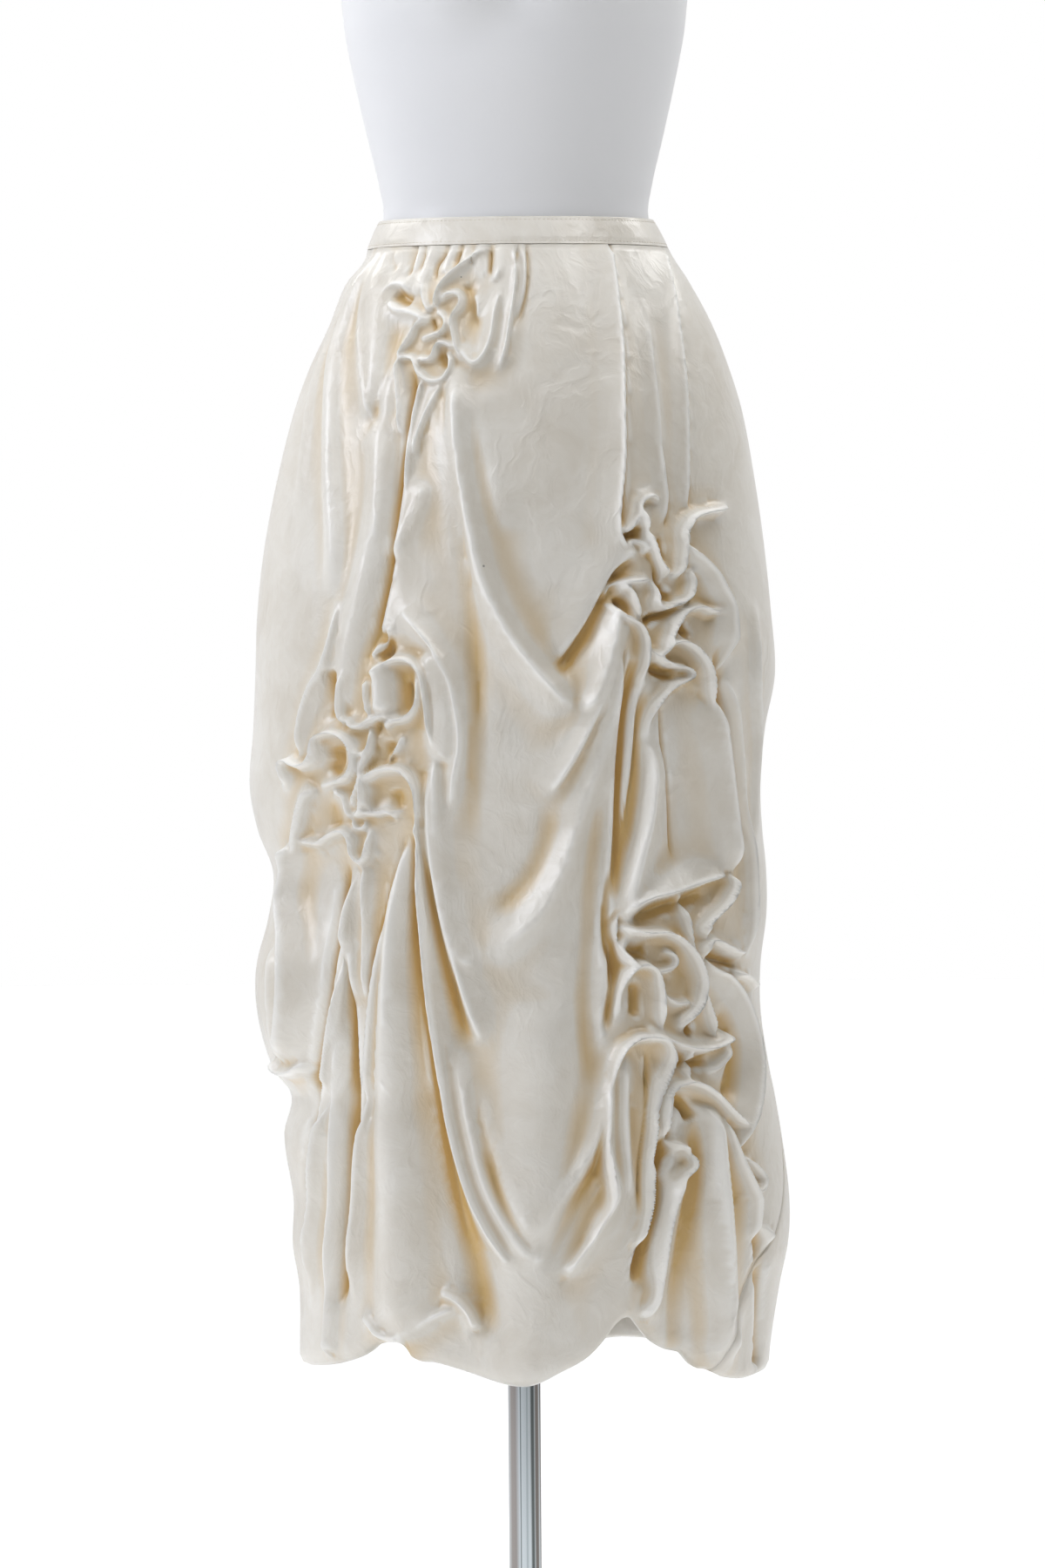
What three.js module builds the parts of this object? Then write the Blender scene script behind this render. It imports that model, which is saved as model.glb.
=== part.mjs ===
// A balloon skirt of ruched satin on a limbless dress form with a pole stand.
// Millimetres, +Z up, front towards -Y, origin at the middle of the stand's underside.
import * as THREE from 'three';

// Driving sizes
const BAND_TOP = 1114;          // height of the waistband's upper edge above the floor
const BAND_HEIGHT = 22;
const WALL = 2.8;               // cloth of the two panels, measured towards the axis
const BAND_WALL = 1.8;
const GAP = 0.35;               // clear distance between neighbouring pieces
const HEM_ROLL = 7.5;           // outer radius of the turned-under hem
const HEM_FLAP = 50;            // how far the hem returns up the inside
const LEFT_SEAM = -92;          // degrees round from the front
const RIGHT_SEAM = 88;
const RIGHT_SEAM_AT_HEM = 50;   // the right seam swings forward towards the hem
const SEAM_SWING_FROM = 690;    // drop at which that swing starts
const SEAM_SWING_TO = 890;
const SIDE_CALM = 0.75;         // how much of a fold's rise is taken off where it meets the outline
const SIDE_CALM_WIDTH = 10;     // degrees
const EYE_DISTANCE = 6000;      // a viewer in front, from the pole's axis
const EYE_DROP = 443;           // the viewer's eye level, below the band's top

const FRONT_COLUMNS = 51;
const PANEL_ROWS = 36;           // the same for both panels, so that their seams match
const BACK_COLUMNS = 30;
const ROLL_STEPS = 4;
const FLAP_STEPS = 2;

const POLE_RADIUS = 12.7;
const BASE_RADIUS = 155;
const BASE_HEIGHT = 12;
const FORM_BOTTOM = 282;        // drop of the form's underside below the band's top

const IVORY = { color: 0xece6d8, roughness: 0.42, metalness: 0 };
const WHITE_SATIN_LACQUER = { color: 0xf4f3f0, roughness: 0.4, metalness: 0 };
const CHROME = { color: 0xd6d8da, roughness: 0.12, metalness: 1 };

// Sections of the skirt: half-widths to the left and right, half-depths to the front and back.
const SKIRT_SECTIONS = [
  { drop: 22, left: 115, right: 117, front: 87, back: 88 },
  { drop: 35, left: 119, right: 124, front: 93, back: 95 },
  { drop: 52, left: 133, right: 135, front: 101, back: 103 },
  { drop: 86, left: 147, right: 153, front: 114, back: 118 },
  { drop: 120, left: 163, right: 166, front: 125, back: 130 },
  { drop: 154, left: 175, right: 176, front: 134, back: 140 },
  { drop: 205, left: 188, right: 185, front: 143, back: 150 },
  { drop: 256, left: 198, right: 192, front: 148, back: 155 },
  { drop: 307, left: 204, right: 197, front: 152, back: 158 },
  { drop: 358, left: 206, right: 200, front: 155, back: 160 },
  { drop: 400, left: 208, right: 192, front: 156, back: 159 },
  { drop: 443, left: 211, right: 188, front: 154, back: 157 },
  { drop: 477, left: 205, right: 189, front: 151, back: 156 },
  { drop: 511, left: 193, right: 192, front: 150, back: 158 },
  { drop: 545, left: 197, right: 192, front: 152, back: 160 },
  { drop: 585, left: 207, right: 187, front: 155, back: 160 },
  { drop: 622, left: 206, right: 187, front: 156, back: 158 },
  { drop: 664, left: 194, right: 193, front: 153, back: 156 },
  { drop: 684, left: 180, right: 197, front: 151, back: 155 },
  { drop: 715, left: 186, right: 202, front: 150, back: 156 },
  { drop: 766, left: 179, right: 208, front: 150, back: 157 },
  { drop: 800, left: 180, right: 207, front: 148, back: 154 },
  { drop: 834, left: 175, right: 200, front: 145, back: 150 },
  { drop: 885, left: 175, right: 192, front: 141, back: 145 },
  { drop: 920, left: 174, right: 190, front: 138, back: 142 },
];

// Lowest line of the hem, by distance across from the centre line.
const FRONT_HEM = [
  { across: -176, drop: 894 }, { across: -150, drop: 889 }, { across: -128, drop: 881 },
  { across: -114, drop: 872 }, { across: -98, drop: 871 }, { across: -86, drop: 883 },
  { across: -49, drop: 891 }, { across: -20, drop: 900 }, { across: 0, drop: 903 },
  { across: 26, drop: 894 }, { across: 49, drop: 883 }, { across: 63, drop: 866 },
  { across: 82, drop: 851 }, { across: 96, drop: 865 }, { across: 111, drop: 876 },
  { across: 128, drop: 884 }, { across: 145, drop: 895 }, { across: 170, drop: 904 },
  { across: 192, drop: 901 },
];
const BACK_HEM = [
  { across: -176, drop: 894 }, { across: -130, drop: 884 }, { across: -92, drop: 877 },
  { across: -44, drop: 891 }, { across: 0, drop: 902 }, { across: 40, drop: 892 },
  { across: 80, drop: 874 }, { across: 128, drop: 886 }, { across: 192, drop: 901 },
];

// Folds: rise above the plain surface (a hollow or crease has a negative one), how far the fold
// reaches to its left and right as it runs along its path, and its path as [across, drop] stations
// on the upright plane through the pole, as they line up for the viewer in front.
// A sharp fold has a narrow crest, a round one a broad crest. An open end keeps its full height.
const WAIST_GATHERS = [
  { name: 'gather 1', form: 'round', rise: 5, left: 12, right: 12, open: 'start',
    path: [[-92, 22], [-97, 46]] },
  { name: 'gather 2', form: 'round', rise: 7, left: 11, right: 11, open: 'start',
    path: [[-70, 22], [-84, 60]] },
  { name: 'gather 3', form: 'round', rise: 5, left: 10, right: 10, open: 'start',
    path: [[-49, 22], [-55, 46]] },
  { name: 'gather 4', form: 'round', rise: 5, left: 10, right: 10, open: 'start',
    path: [[-27, 22], [-26, 50]] },
  { name: 'gather 5', form: 'sharp', rise: 9, left: 20, right: 9, open: 'start',
    path: [[-3, 22], [-1, 56], [-9, 104], [-15, 122]] },
  { name: 'gather crease 1', form: 'sharp', rise: -5, left: 9, right: 9, open: 'start',
    path: [[-60, 22], [-63, 46]] },
  { name: 'gather crease 2', form: 'sharp', rise: -5, left: 9, right: 9, open: 'start',
    path: [[9, 22], [3, 80]] },
];

const UPPER_LEFT_CLUSTER = [
  { name: 'left body', form: 'round', rise: 9, left: 22, right: 28, open: 'start',
    path: [[-104, 22], [-117, 70], [-114, 125], [-110, 225]] },
  { name: 'rim', form: 'sharp', rise: 9, left: 16, right: 12,
    path: [[-106, 58], [-94, 70], [-76, 77], [-68, 84]] },
  { name: 'diagonal', form: 'sharp', rise: 12, left: 12, right: 13, open: 'start',
    path: [[-26, 23], [-51, 43], [-64, 61], [-66, 74]] },
  { name: 'hook', form: 'sharp', rise: 13, left: 12, right: 11,
    path: [[-60, 66], [-50, 59], [-44, 66], [-50, 82], [-47, 102], [-44, 118]] },
  { name: 'lobe left', form: 'sharp', rise: 12, left: 12, right: 12,
    path: [[-70, 80], [-84, 93], [-94, 112], [-93, 150]] },
  { name: 'lobe foot', form: 'sharp', rise: 12, left: 11, right: 11,
    path: [[-96, 111], [-80, 110], [-66, 108], [-50, 102]] },
  { name: 'pocket', form: 'sharp', rise: 11, left: 11, right: 12,
    path: [[-79, 116], [-68, 129], [-55, 122]] },
  { name: 'fall', form: 'sharp', rise: 10, left: 24, right: 12,
    path: [[-58, 126], [-72, 154], [-83, 190]] },
  { name: 'small U', form: 'round', rise: 8, left: 16, right: 16,
    path: [[-44, 100], [-34, 114], [-20, 92], [-12, 52]] },
];

const SWAGS = [
  { name: 'long crease', form: 'sharp', rise: -13, left: 11, right: 11,
    path: [[-82, 122], [-86, 165], [-96, 235], [-106, 292], [-121, 350]] },
  { name: 'long left roll', form: 'round', rise: 11, left: 22, right: 18,
    path: [[-106, 150], [-102, 200], [-113, 270], [-130, 340], [-138, 390]] },
  { name: 'soft left ridge', form: 'round', rise: 6, left: 20, right: 18, open: 'start',
    path: [[-110, 24], [-138, 90], [-147, 160], [-144, 255], [-147, 305]] },
  { name: 'first swag, left arm', form: 'sharp', rise: 14, left: 24, right: 20,
    path: [[-45, 112], [-46, 180], [-36, 245], [-11, 320], [18, 364], [45, 390]] },
  { name: 'first swag, right arm', form: 'sharp', rise: 13, left: 18, right: 26,
    path: [[73, 300], [70, 335], [57, 374], [43, 391]] },
  { name: 'first swag notch', form: 'sharp', rise: -10, left: 14, right: 14,
    path: [[29, 357], [50, 327], [72, 286], [92, 264]] },
  { name: 'second swag rim', form: 'sharp', rise: 9, left: 10, right: 28,
    path: [[22, 452], [44, 420], [63, 378], [77, 330]] },
  { name: 'second swag, right arm', form: 'sharp', rise: 14, left: 28, right: 20,
    path: [[84, 330], [73, 382], [52, 447], [31, 512], [6, 552], [-32, 586]] },
  { name: 'second swag, left arm', form: 'sharp', rise: 9, left: 26, right: 24,
    path: [[-30, 588], [-52, 566], [-60, 512]] },
  { name: 'middle trough', form: 'round', rise: -16, left: 16, right: 15,
    path: [[92, 345], [86, 430], [80, 530], [76, 600], [72, 665]] },
];

const LEFT_CLUSTER = [
  { name: 'left rim', form: 'sharp', rise: 9, left: 14, right: 15,
    path: [[-144, 298], [-150, 342], [-168, 376], [-173, 425]] },
  { name: 'left hollow', form: 'round', rise: -9, left: 13, right: 12, path: [[-151, 348], [-149, 394]] },
  { name: 'top loop', form: 'sharp', rise: 14, left: 14, right: 13,
    path: [[-122, 358], [-102, 348], [-82, 348], [-72, 374], [-68, 424]] },
  { name: 'sleeve', form: 'round', rise: 13, left: 16, right: 14, path: [[-110, 352], [-109, 390]] },
  { name: 'sleeve foot', form: 'sharp', rise: 12, left: 10, right: 14,
    path: [[-138, 388], [-122, 397], [-92, 389], [-80, 370]] },
  { name: 'shoulder', form: 'sharp', rise: 13, left: 14, right: 20,
    path: [[-102, 302], [-70, 332], [-50, 380], [-47, 418], [-56, 476]] },
  { name: 'hook', form: 'sharp', rise: 15, left: 13, right: 12,
    path: [[-192, 444], [-181, 424], [-158, 418], [-147, 402], [-129, 414], [-134, 438], [-162, 445]] },
  { name: 'stem', form: 'sharp', rise: 12, left: 11, right: 11,
    path: [[-118, 400], [-122, 432], [-134, 464]] },
  { name: 'lower arch', form: 'sharp', rise: 14, left: 14, right: 13, open: 'end',
    path: [[-122, 458], [-114, 434], [-92, 432], [-80, 454], [-79, 486]] },
  { name: 'side loop', form: 'sharp', rise: 12, left: 18, right: 12,
    path: [[-163, 446], [-174, 478], [-177, 504]] },
  { name: 'foot arch', form: 'sharp', rise: 13, left: 13, right: 13,
    path: [[-178, 490], [-158, 487], [-138, 479], [-125, 502], [-118, 478]] },
  { name: 'middle hollow', form: 'round', rise: -9, left: 13, right: 12,
    path: [[-148, 410], [-148, 450], [-150, 474]] },
];

const LOWER_LEFT = [
  { name: 'outer fold', form: 'sharp', rise: 14, left: 15, right: 20, open: 'start',
    path: [[-177, 498], [-177, 565], [-181, 640], [-187, 660]] },
  { name: 'second fold', form: 'sharp', rise: 12, left: 13, right: 24,
    path: [[-134, 506], [-146, 580], [-157, 660], [-166, 730], [-172, 815]] },
  { name: 'second fold body', form: 'round', rise: 10, left: 22, right: 18, open: 'end',
    path: [[-142, 600], [-152, 720], [-157, 886]] },
  { name: 'third fold', form: 'sharp', rise: 9, left: 10, right: 11,
    path: [[-124, 504], [-129, 570], [-128, 650]] },
  { name: 'third trough', form: 'round', rise: -15, left: 12, right: 12,
    path: [[-136, 560], [-135, 640], [-137, 750], [-139, 805]] },
  { name: 'puff', form: 'round', rise: 20, left: 20, right: 24, open: 'end',
    path: [[-91, 486], [-98, 600], [-98, 720], [-92, 880]] },
  { name: 'puff crease, left', form: 'sharp', rise: -11, left: 10, right: 11,
    path: [[-92, 478], [-108, 548], [-121, 620], [-128, 705], [-139, 800]] },
  { name: 'puff crease, right', form: 'sharp', rise: -15, left: 11, right: 11,
    path: [[-86, 466], [-83, 550], [-73, 650], [-59, 750], [-44, 838]] },
  { name: 'thin fold', form: 'sharp', rise: 12, left: 11, right: 13,
    path: [[-79, 480], [-76, 562], [-63, 660], [-46, 750]] },
  { name: 'centre panel rim', form: 'sharp', rise: 12, left: 11, right: 24,
    path: [[-68, 422], [-69, 490], [-56, 566], [-40, 620], [-30, 650]] },
];

const RIGHT_CLUSTER = [
  { name: 'tuck 1', form: 'sharp', rise: 8, left: 26, right: 9, open: 'start',
    path: [[74, 22], [82, 90], [84, 180], [80, 240], [88, 258]] },
  { name: 'tuck 1 crease', form: 'sharp', rise: -6, left: 10, right: 11, open: 'start',
    path: [[86, 24], [96, 100], [96, 180], [92, 226]] },
  { name: 'tuck 2', form: 'sharp', rise: 6, left: 18, right: 10,
    path: [[121, 30], [134, 120], [136, 232]] },
  { name: 'tongue, left', form: 'sharp', rise: 13, left: 12, right: 12,
    path: [[98, 226], [101, 250], [119, 283]] },
  { name: 'tongue, right', form: 'sharp', rise: 13, left: 12, right: 12,
    path: [[119, 283], [128, 256], [146, 232], [176, 229]] },
  { name: 'top rim', form: 'sharp', rise: 11, left: 12, right: 11,
    path: [[70, 302], [82, 286], [104, 283], [108, 302]] },
  { name: 'low rim', form: 'sharp', rise: 13, left: 12, right: 12,
    path: [[70, 300], [84, 314], [98, 336], [97, 368]] },
  { name: 'S fold', form: 'sharp', rise: 12, left: 11, right: 11,
    path: [[107, 303], [125, 303], [135, 287], [142, 277]] },
  { name: 'outer rim', form: 'sharp', rise: 14, left: 18, right: 12,
    path: [[129, 250], [143, 270], [158, 292], [165, 322], [164, 364]] },
  { name: 'right arch', form: 'sharp', rise: 12, left: 12, right: 12,
    path: [[163, 308], [143, 306], [124, 317], [112, 340]] },
  { name: 'low right fold', form: 'sharp', rise: 13, left: 12, right: 12,
    path: [[104, 337], [127, 333], [146, 353], [152, 400]] },
  { name: 'foot', form: 'sharp', rise: 12, left: 12, right: 11,
    path: [[106, 343], [133, 357], [112, 376], [101, 416]] },
];

const MIDDLE_RIGHT = [
  { name: 'left rim', form: 'sharp', rise: 13, left: 12, right: 24,
    path: [[101, 410], [94, 475], [80, 530], [75, 552]] },
  { name: 'dart crease', form: 'sharp', rise: -5, left: 9, right: 9,
    path: [[112, 380], [118, 465], [121, 508]] },
  { name: 'right rim', form: 'sharp', rise: 13, left: 24, right: 12,
    path: [[149, 372], [157, 450], [165, 514]] },
  { name: 'right trough', form: 'round', rise: -12, left: 11, right: 12,
    path: [[157, 335], [165, 415], [170, 490]] },
  { name: 'thin fold', form: 'sharp', rise: 10, left: 12, right: 12,
    path: [[165, 368], [175, 440], [179, 580]] },
];

const LOWER_RIGHT_CLUSTER = [
  { name: 'flap foot', form: 'sharp', rise: 15, left: 12, right: 26,
    path: [[78, 550], [118, 529], [165, 515]] },
  { name: 'flap hollow', form: 'round', rise: -8, left: 14, right: 10,
    path: [[90, 552], [120, 541], [146, 532]] },
  { name: 'tip', form: 'sharp', rise: 12, left: 12, right: 12, path: [[166, 512], [162, 534], [146, 564]] },
  { name: 'long S fold', form: 'sharp', rise: 15, left: 13, right: 13,
    path: [[80, 549], [97, 560], [124, 567], [138, 594], [128, 634]] },
  { name: 'loop', form: 'sharp', rise: 15, left: 13, right: 12,
    path: [[78, 628], [84, 592], [103, 589], [112, 638]] },
  { name: 'upright', form: 'sharp', rise: 11, left: 12, right: 12,
    path: [[130, 534], [136, 590], [154, 642]] },
  { name: 'outer rim', form: 'sharp', rise: 15, left: 22, right: 13,
    path: [[146, 574], [164, 596], [183, 628], [189, 676], [172, 735]] },
  { name: 'lobe foot', form: 'sharp', rise: 13, left: 11, right: 14,
    path: [[97, 637], [130, 650], [164, 636]] },
  { name: 'left arch', form: 'sharp', rise: 15, left: 15, right: 13,
    path: [[66, 700], [77, 652], [108, 644], [106, 690], [99, 765]] },
  { name: 'arch crease', form: 'sharp', rise: -12, left: 10, right: 10,
    path: [[103, 652], [97, 712], [94, 780]] },
  { name: 'left fall', form: 'sharp', rise: 13, left: 13, right: 18,
    path: [[68, 668], [65, 722], [67, 770], [58, 792]] },
  { name: 'low arch', form: 'sharp', rise: 15, left: 13, right: 13,
    path: [[134, 735], [112, 712], [124, 678], [150, 688], [184, 713]] },
  { name: 'neck hollow', form: 'round', rise: -13, left: 12, right: 12,
    path: [[120, 656], [106, 700], [103, 735]] },
];

const LOWER_MIDDLE = [
  { name: 'dark gap', form: 'round', rise: -16, left: 12, right: 12,
    path: [[110, 738], [104, 772], [90, 836]] },
  { name: 'gap rim', form: 'sharp', rise: 12, left: 11, right: 18,
    path: [[126, 748], [108, 790], [94, 862]] },
  { name: 'right cone', form: 'round', rise: 14, left: 20, right: 26, open: 'end',
    path: [[142, 690], [150, 800], [152, 890]] },
  { name: 'right fold', form: 'sharp', rise: 11, left: 16, right: 12,
    path: [[150, 698], [166, 738], [182, 790]] },
  { name: 'third swag, left arm', form: 'sharp', rise: 15, left: 12, right: 26,
    path: [[-64, 690], [-52, 745], [-40, 792], [-30, 855]] },
  { name: 'third swag, inner', form: 'sharp', rise: 8, left: 16, right: 14,
    path: [[-40, 690], [-26, 765], [14, 806]] },
  { name: 'third swag, right arm', form: 'sharp', rise: 12, left: 15, right: 13,
    path: [[68, 752], [58, 795], [33, 822]] },
  { name: 'third swag trough', form: 'round', rise: -7, left: 13, right: 13,
    path: [[60, 718], [48, 776], [26, 806]] },
  { name: 'third swag body', form: 'round', rise: 10, left: 46, right: 46, open: 'end',
    path: [[10, 700], [8, 800], [5, 912]] },
];

// The back repeats each group of folds, moved by this much so that it isn't the front's twin.
const GROUPS = [
  { folds: WAIST_GATHERS, backAcross: 6, backDrop: 0 },
  { folds: UPPER_LEFT_CLUSTER, backAcross: 52, backDrop: 34 },
  { folds: SWAGS, backAcross: 14, backDrop: 30 },
  { folds: LEFT_CLUSTER, backAcross: 12, backDrop: 0 },
  { folds: LOWER_LEFT, backAcross: 8, backDrop: 0 },
  { folds: RIGHT_CLUSTER, backAcross: -14, backDrop: -24 },
  { folds: MIDDLE_RIGHT, backAcross: -10, backDrop: 0 },
  { folds: LOWER_RIGHT_CLUSTER, backAcross: -22, backDrop: -16 },
  { folds: LOWER_MIDDLE, backAcross: -12, backDrop: 0 },
];

// Sections of the dress form: half-width, half-depths to the front and back.
const FORM_SECTIONS = [
  { drop: 282, side: 122, front: 78, back: 86 },
  { drop: 279, side: 134, front: 86, back: 96 },
  { drop: 268, side: 143, front: 92, back: 104 },
  { drop: 240, side: 150, front: 97, back: 110 },
  { drop: 200, side: 151, front: 97, back: 112 },
  { drop: 150, side: 144, front: 94, back: 107 },
  { drop: 100, side: 133, front: 89, back: 97 },
  { drop: 60, side: 121.5, front: 84, back: 87 },
  { drop: 22, side: 111, front: 80, back: 80 },
  { drop: 0, side: 103.4, front: 76, back: 76 },
  { drop: -24, side: 106.5, front: 79, back: 78 },
  { drop: -60, side: 115, front: 85, back: 82 },
  { drop: -100, side: 124, front: 92, back: 87 },
  { drop: -140, side: 132, front: 95, back: 92 },
  { drop: -162, side: 134.5, front: 97, back: 94 },
  { drop: -182, side: 136.5, front: 97, back: 96 },
  { drop: -202, side: 139, front: 96, back: 98 },
  { drop: -224, side: 143, front: 94, back: 99 },
  { drop: -250, side: 150, front: 90, back: 99 },
  { drop: -284, side: 160, front: 82, back: 97 },
  { drop: -316, side: 165, front: 73, back: 91 },
  { drop: -338, side: 160, front: 66, back: 84 },
  { drop: -356, side: 143, front: 60, back: 76 },
  { drop: -372, side: 115, front: 55, back: 68 },
  { drop: -386, side: 86, front: 52, back: 60 },
  { drop: -400, side: 67, front: 50, back: 54 },
  { drop: -416, side: 58, front: 50, back: 51 },
  { drop: -440, side: 56, front: 50, back: 50 },
  { drop: -448, side: 53, front: 47, back: 47 },
  { drop: -450, side: 47, front: 41, back: 41 },
];
const FORM_COLUMNS = 34;
const BUST = { across: 58, drop: -196, rise: 22, reach: 78 };

const radians = (degrees) => (degrees * Math.PI) / 180;
const clamp = (value, low, high) => Math.min(high, Math.max(low, value));

// A smooth curve through one column of a table whose rows are in order of another column.
function alongTable(rows, by, column, at) {
  const last = rows.length - 1;
  if (at <= rows[0][by]) return rows[0][column];
  if (at >= rows[last][by]) return rows[last][column];
  const slope = (i) => {
    const before = rows[Math.max(i - 1, 0)];
    const after = rows[Math.min(i + 1, last)];
    return (after[column] - before[column]) / (after[by] - before[by]);
  };
  const i = rows.findIndex((row) => row[by] > at) - 1;
  const step = rows[i + 1][by] - rows[i][by];
  const t = (at - rows[i][by]) / step;
  const rise = rows[i + 1][column] - rows[i][column];
  const cubic = t * t * (3 - 2 * t);
  return rows[i][column] + rise * cubic
    + step * (slope(i) * t * (1 - t) * (1 - t) - slope(i + 1) * t * t * (1 - t));
}

// The plain surface: angle in degrees round from the front, drop below the band's top.
function plainPoint(angle, drop) {
  const across = Math.sin(radians(angle));
  const ahead = Math.cos(radians(angle));
  const width = alongTable(SKIRT_SECTIONS, 'drop', across > 0 ? 'right' : 'left', drop);
  const depth = alongTable(SKIRT_SECTIONS, 'drop', ahead > 0 ? 'front' : 'back', drop);
  return new THREE.Vector3(width * across, -depth * ahead, BAND_TOP - drop);
}

// The point of the front surface that lines up with a station for the viewer, by closing in on it.
function pointAtStation(across, drop, side) {
  let nearness = 1;
  let point;
  for (let pass = 0; pass < 4; pass += 1) {
    const trueDrop = EYE_DROP + (drop - EYE_DROP) * nearness;
    const width = alongTable(SKIRT_SECTIONS, 'drop', across > 0 ? 'right' : 'left', trueDrop);
    const angle = THREE.MathUtils.radToDeg(Math.asin(clamp((across * nearness) / width, -1, 1)));
    point = plainPoint(angle, trueDrop);
    nearness = (EYE_DISTANCE + point.y) / EYE_DISTANCE;
  }
  if (side === 'front') return point;
  const behind = alongTable(SKIRT_SECTIONS, 'drop', 'back', BAND_TOP - point.z);
  const ahead = alongTable(SKIRT_SECTIONS, 'drop', 'front', BAND_TOP - point.z);
  return point.setY((-point.y * behind) / ahead);
}

const END_TAPER = 0.22;         // part of a fold's length over which a closed end dies away
const CREST_ROUNDING = 0.12;    // part of a flank's width that is rounded at the crest
const CREST_POWER = 1.7;        // how hollow the flanks of a sharp fold are
const CURVE_STEPS = 4;          // points laid along each stretch of a fold's path

function laidFolds(side) {
  const mirrored = side === 'back';
  return GROUPS.flatMap(({ folds, backAcross, backDrop }) => folds.map((fold) => {
    const points = fold.path.map(([across, drop]) => (mirrored
      ? pointAtStation(across + backAcross, drop + backDrop, side)
      : pointAtStation(across, drop, side)));
    return {
      ...fold,
      left: mirrored ? fold.right : fold.left,
      right: mirrored ? fold.left : fold.right,
      curve: new THREE.CatmullRomCurve3(points).getPoints(CURVE_STEPS * (points.length - 1)),
    };
  }));
}

function endFade(fold, along) {
  const fromStart = fold.open === 'start' ? 1 : clamp(along / END_TAPER, 0, 1);
  const fromEnd = fold.open === 'end' ? 1 : clamp((1 - along) / END_TAPER, 0, 1);
  const fade = fromStart * fromEnd;
  return fade * (2 - fade);
}

function foldHeight(fold, point, outward) {
  let nearest = Infinity;
  let along = 0;
  let onRight = false;
  const { curve } = fold;
  const run = new THREE.Vector3();
  const offset = new THREE.Vector3();
  for (let i = 0; i < curve.length - 1; i += 1) {
    run.subVectors(curve[i + 1], curve[i]);
    offset.subVectors(point, curve[i]);
    const t = clamp(offset.dot(run) / run.lengthSq(), 0, 1);
    offset.addScaledVector(run, -t);
    const distance = offset.length();
    if (distance < nearest) {
      nearest = distance;
      along = (i + t) / (curve.length - 1);
      onRight = run.cross(offset).dot(outward) > 0;
    }
  }
  const reach = onRight ? fold.right : fold.left;
  if (nearest >= reach) return 0;
  const t = nearest / reach;
  const rounded = (Math.hypot(t, CREST_ROUNDING) - CREST_ROUNDING)
    / (Math.hypot(1, CREST_ROUNDING) - CREST_ROUNDING);
  const profile = fold.form === 'sharp' ? (1 - rounded) ** CREST_POWER : 0.5 + 0.5 * Math.cos(Math.PI * t);
  return Math.abs(fold.rise) * profile * endFade(fold, along);
}

// Raised folds blend by the largest, and so do sunken ones, so that crossings don't pile up.
const BLEND = 4;
function foldedRise(folds, point, outward) {
  let raised = 0;
  let sunk = 0;
  for (const fold of folds) {
    const height = foldHeight(fold, point, outward) ** BLEND;
    if (fold.rise > 0) raised += height;
    else sunk += height;
  }
  return raised ** (1 / BLEND) - sunk ** (1 / BLEND);
}

const FRONT_FOLDS = laidFolds('front');
const BACK_FOLDS = laidFolds('back');
const FOLD_FADE_IN = 26;        // drop below the band over which folds reach their full rise
const RISE_AT_BAND = 0.35;

function skirtRadius(angle, drop) {
  const point = plainPoint(angle, drop);
  const outward = new THREE.Vector3(point.x, point.y, 0).normalize();
  const folds = Math.cos(radians(angle)) >= 0 ? FRONT_FOLDS : BACK_FOLDS;
  const fromSide = Math.abs(Math.abs(THREE.MathUtils.euclideanModulo(angle + 180, 360) - 180) - 90);
  const calm = 1 - SIDE_CALM * Math.exp(-((fromSide / SIDE_CALM_WIDTH) ** 2));
  const belowBand = clamp((drop - BAND_HEIGHT) / FOLD_FADE_IN, RISE_AT_BAND, 1);
  const rise = foldedRise(folds, point, outward) * calm * belowBand;
  return { outward, radius: Math.hypot(point.x, point.y) + rise };
}

function hemDrop(angle) {
  const rows = Math.cos(radians(angle)) >= 0 ? FRONT_HEM : BACK_HEM;
  const across = Math.sin(radians(angle));
  const width = across > 0 ? rows[rows.length - 1].across : -rows[0].across;
  return alongTable(rows, 'across', 'drop', across * width);
}

// One stretch of the wall's section: how far in from the outer surface, and the drop, for a row
// number that runs down the panel, round the roll at the hem and up the flap inside it.
function wallStation(row, rows, hem, inset) {
  const foot = hem - HEM_ROLL;
  if (row <= rows) {
    const top = BAND_HEIGHT + GAP;
    return { inward: inset, drop: top + (foot - top) * (row / rows) };
  }
  const radius = HEM_ROLL - inset;
  if (row <= rows + ROLL_STEPS) {
    const turn = Math.PI * ((row - rows) / ROLL_STEPS);
    return { inward: HEM_ROLL - radius * Math.cos(turn), drop: foot + radius * Math.sin(turn) };
  }
  const up = (row - rows - ROLL_STEPS) / FLAP_STEPS;
  return { inward: HEM_ROLL + radius, drop: foot - HEM_FLAP * up };
}

function rightSeam(drop) {
  const t = clamp((drop - SEAM_SWING_FROM) / (SEAM_SWING_TO - SEAM_SWING_FROM), 0, 1);
  return RIGHT_SEAM + (RIGHT_SEAM_AT_HEM - RIGHT_SEAM) * t * t * (3 - 2 * t);
}

const SEAM_RADIUS = 150;

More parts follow.
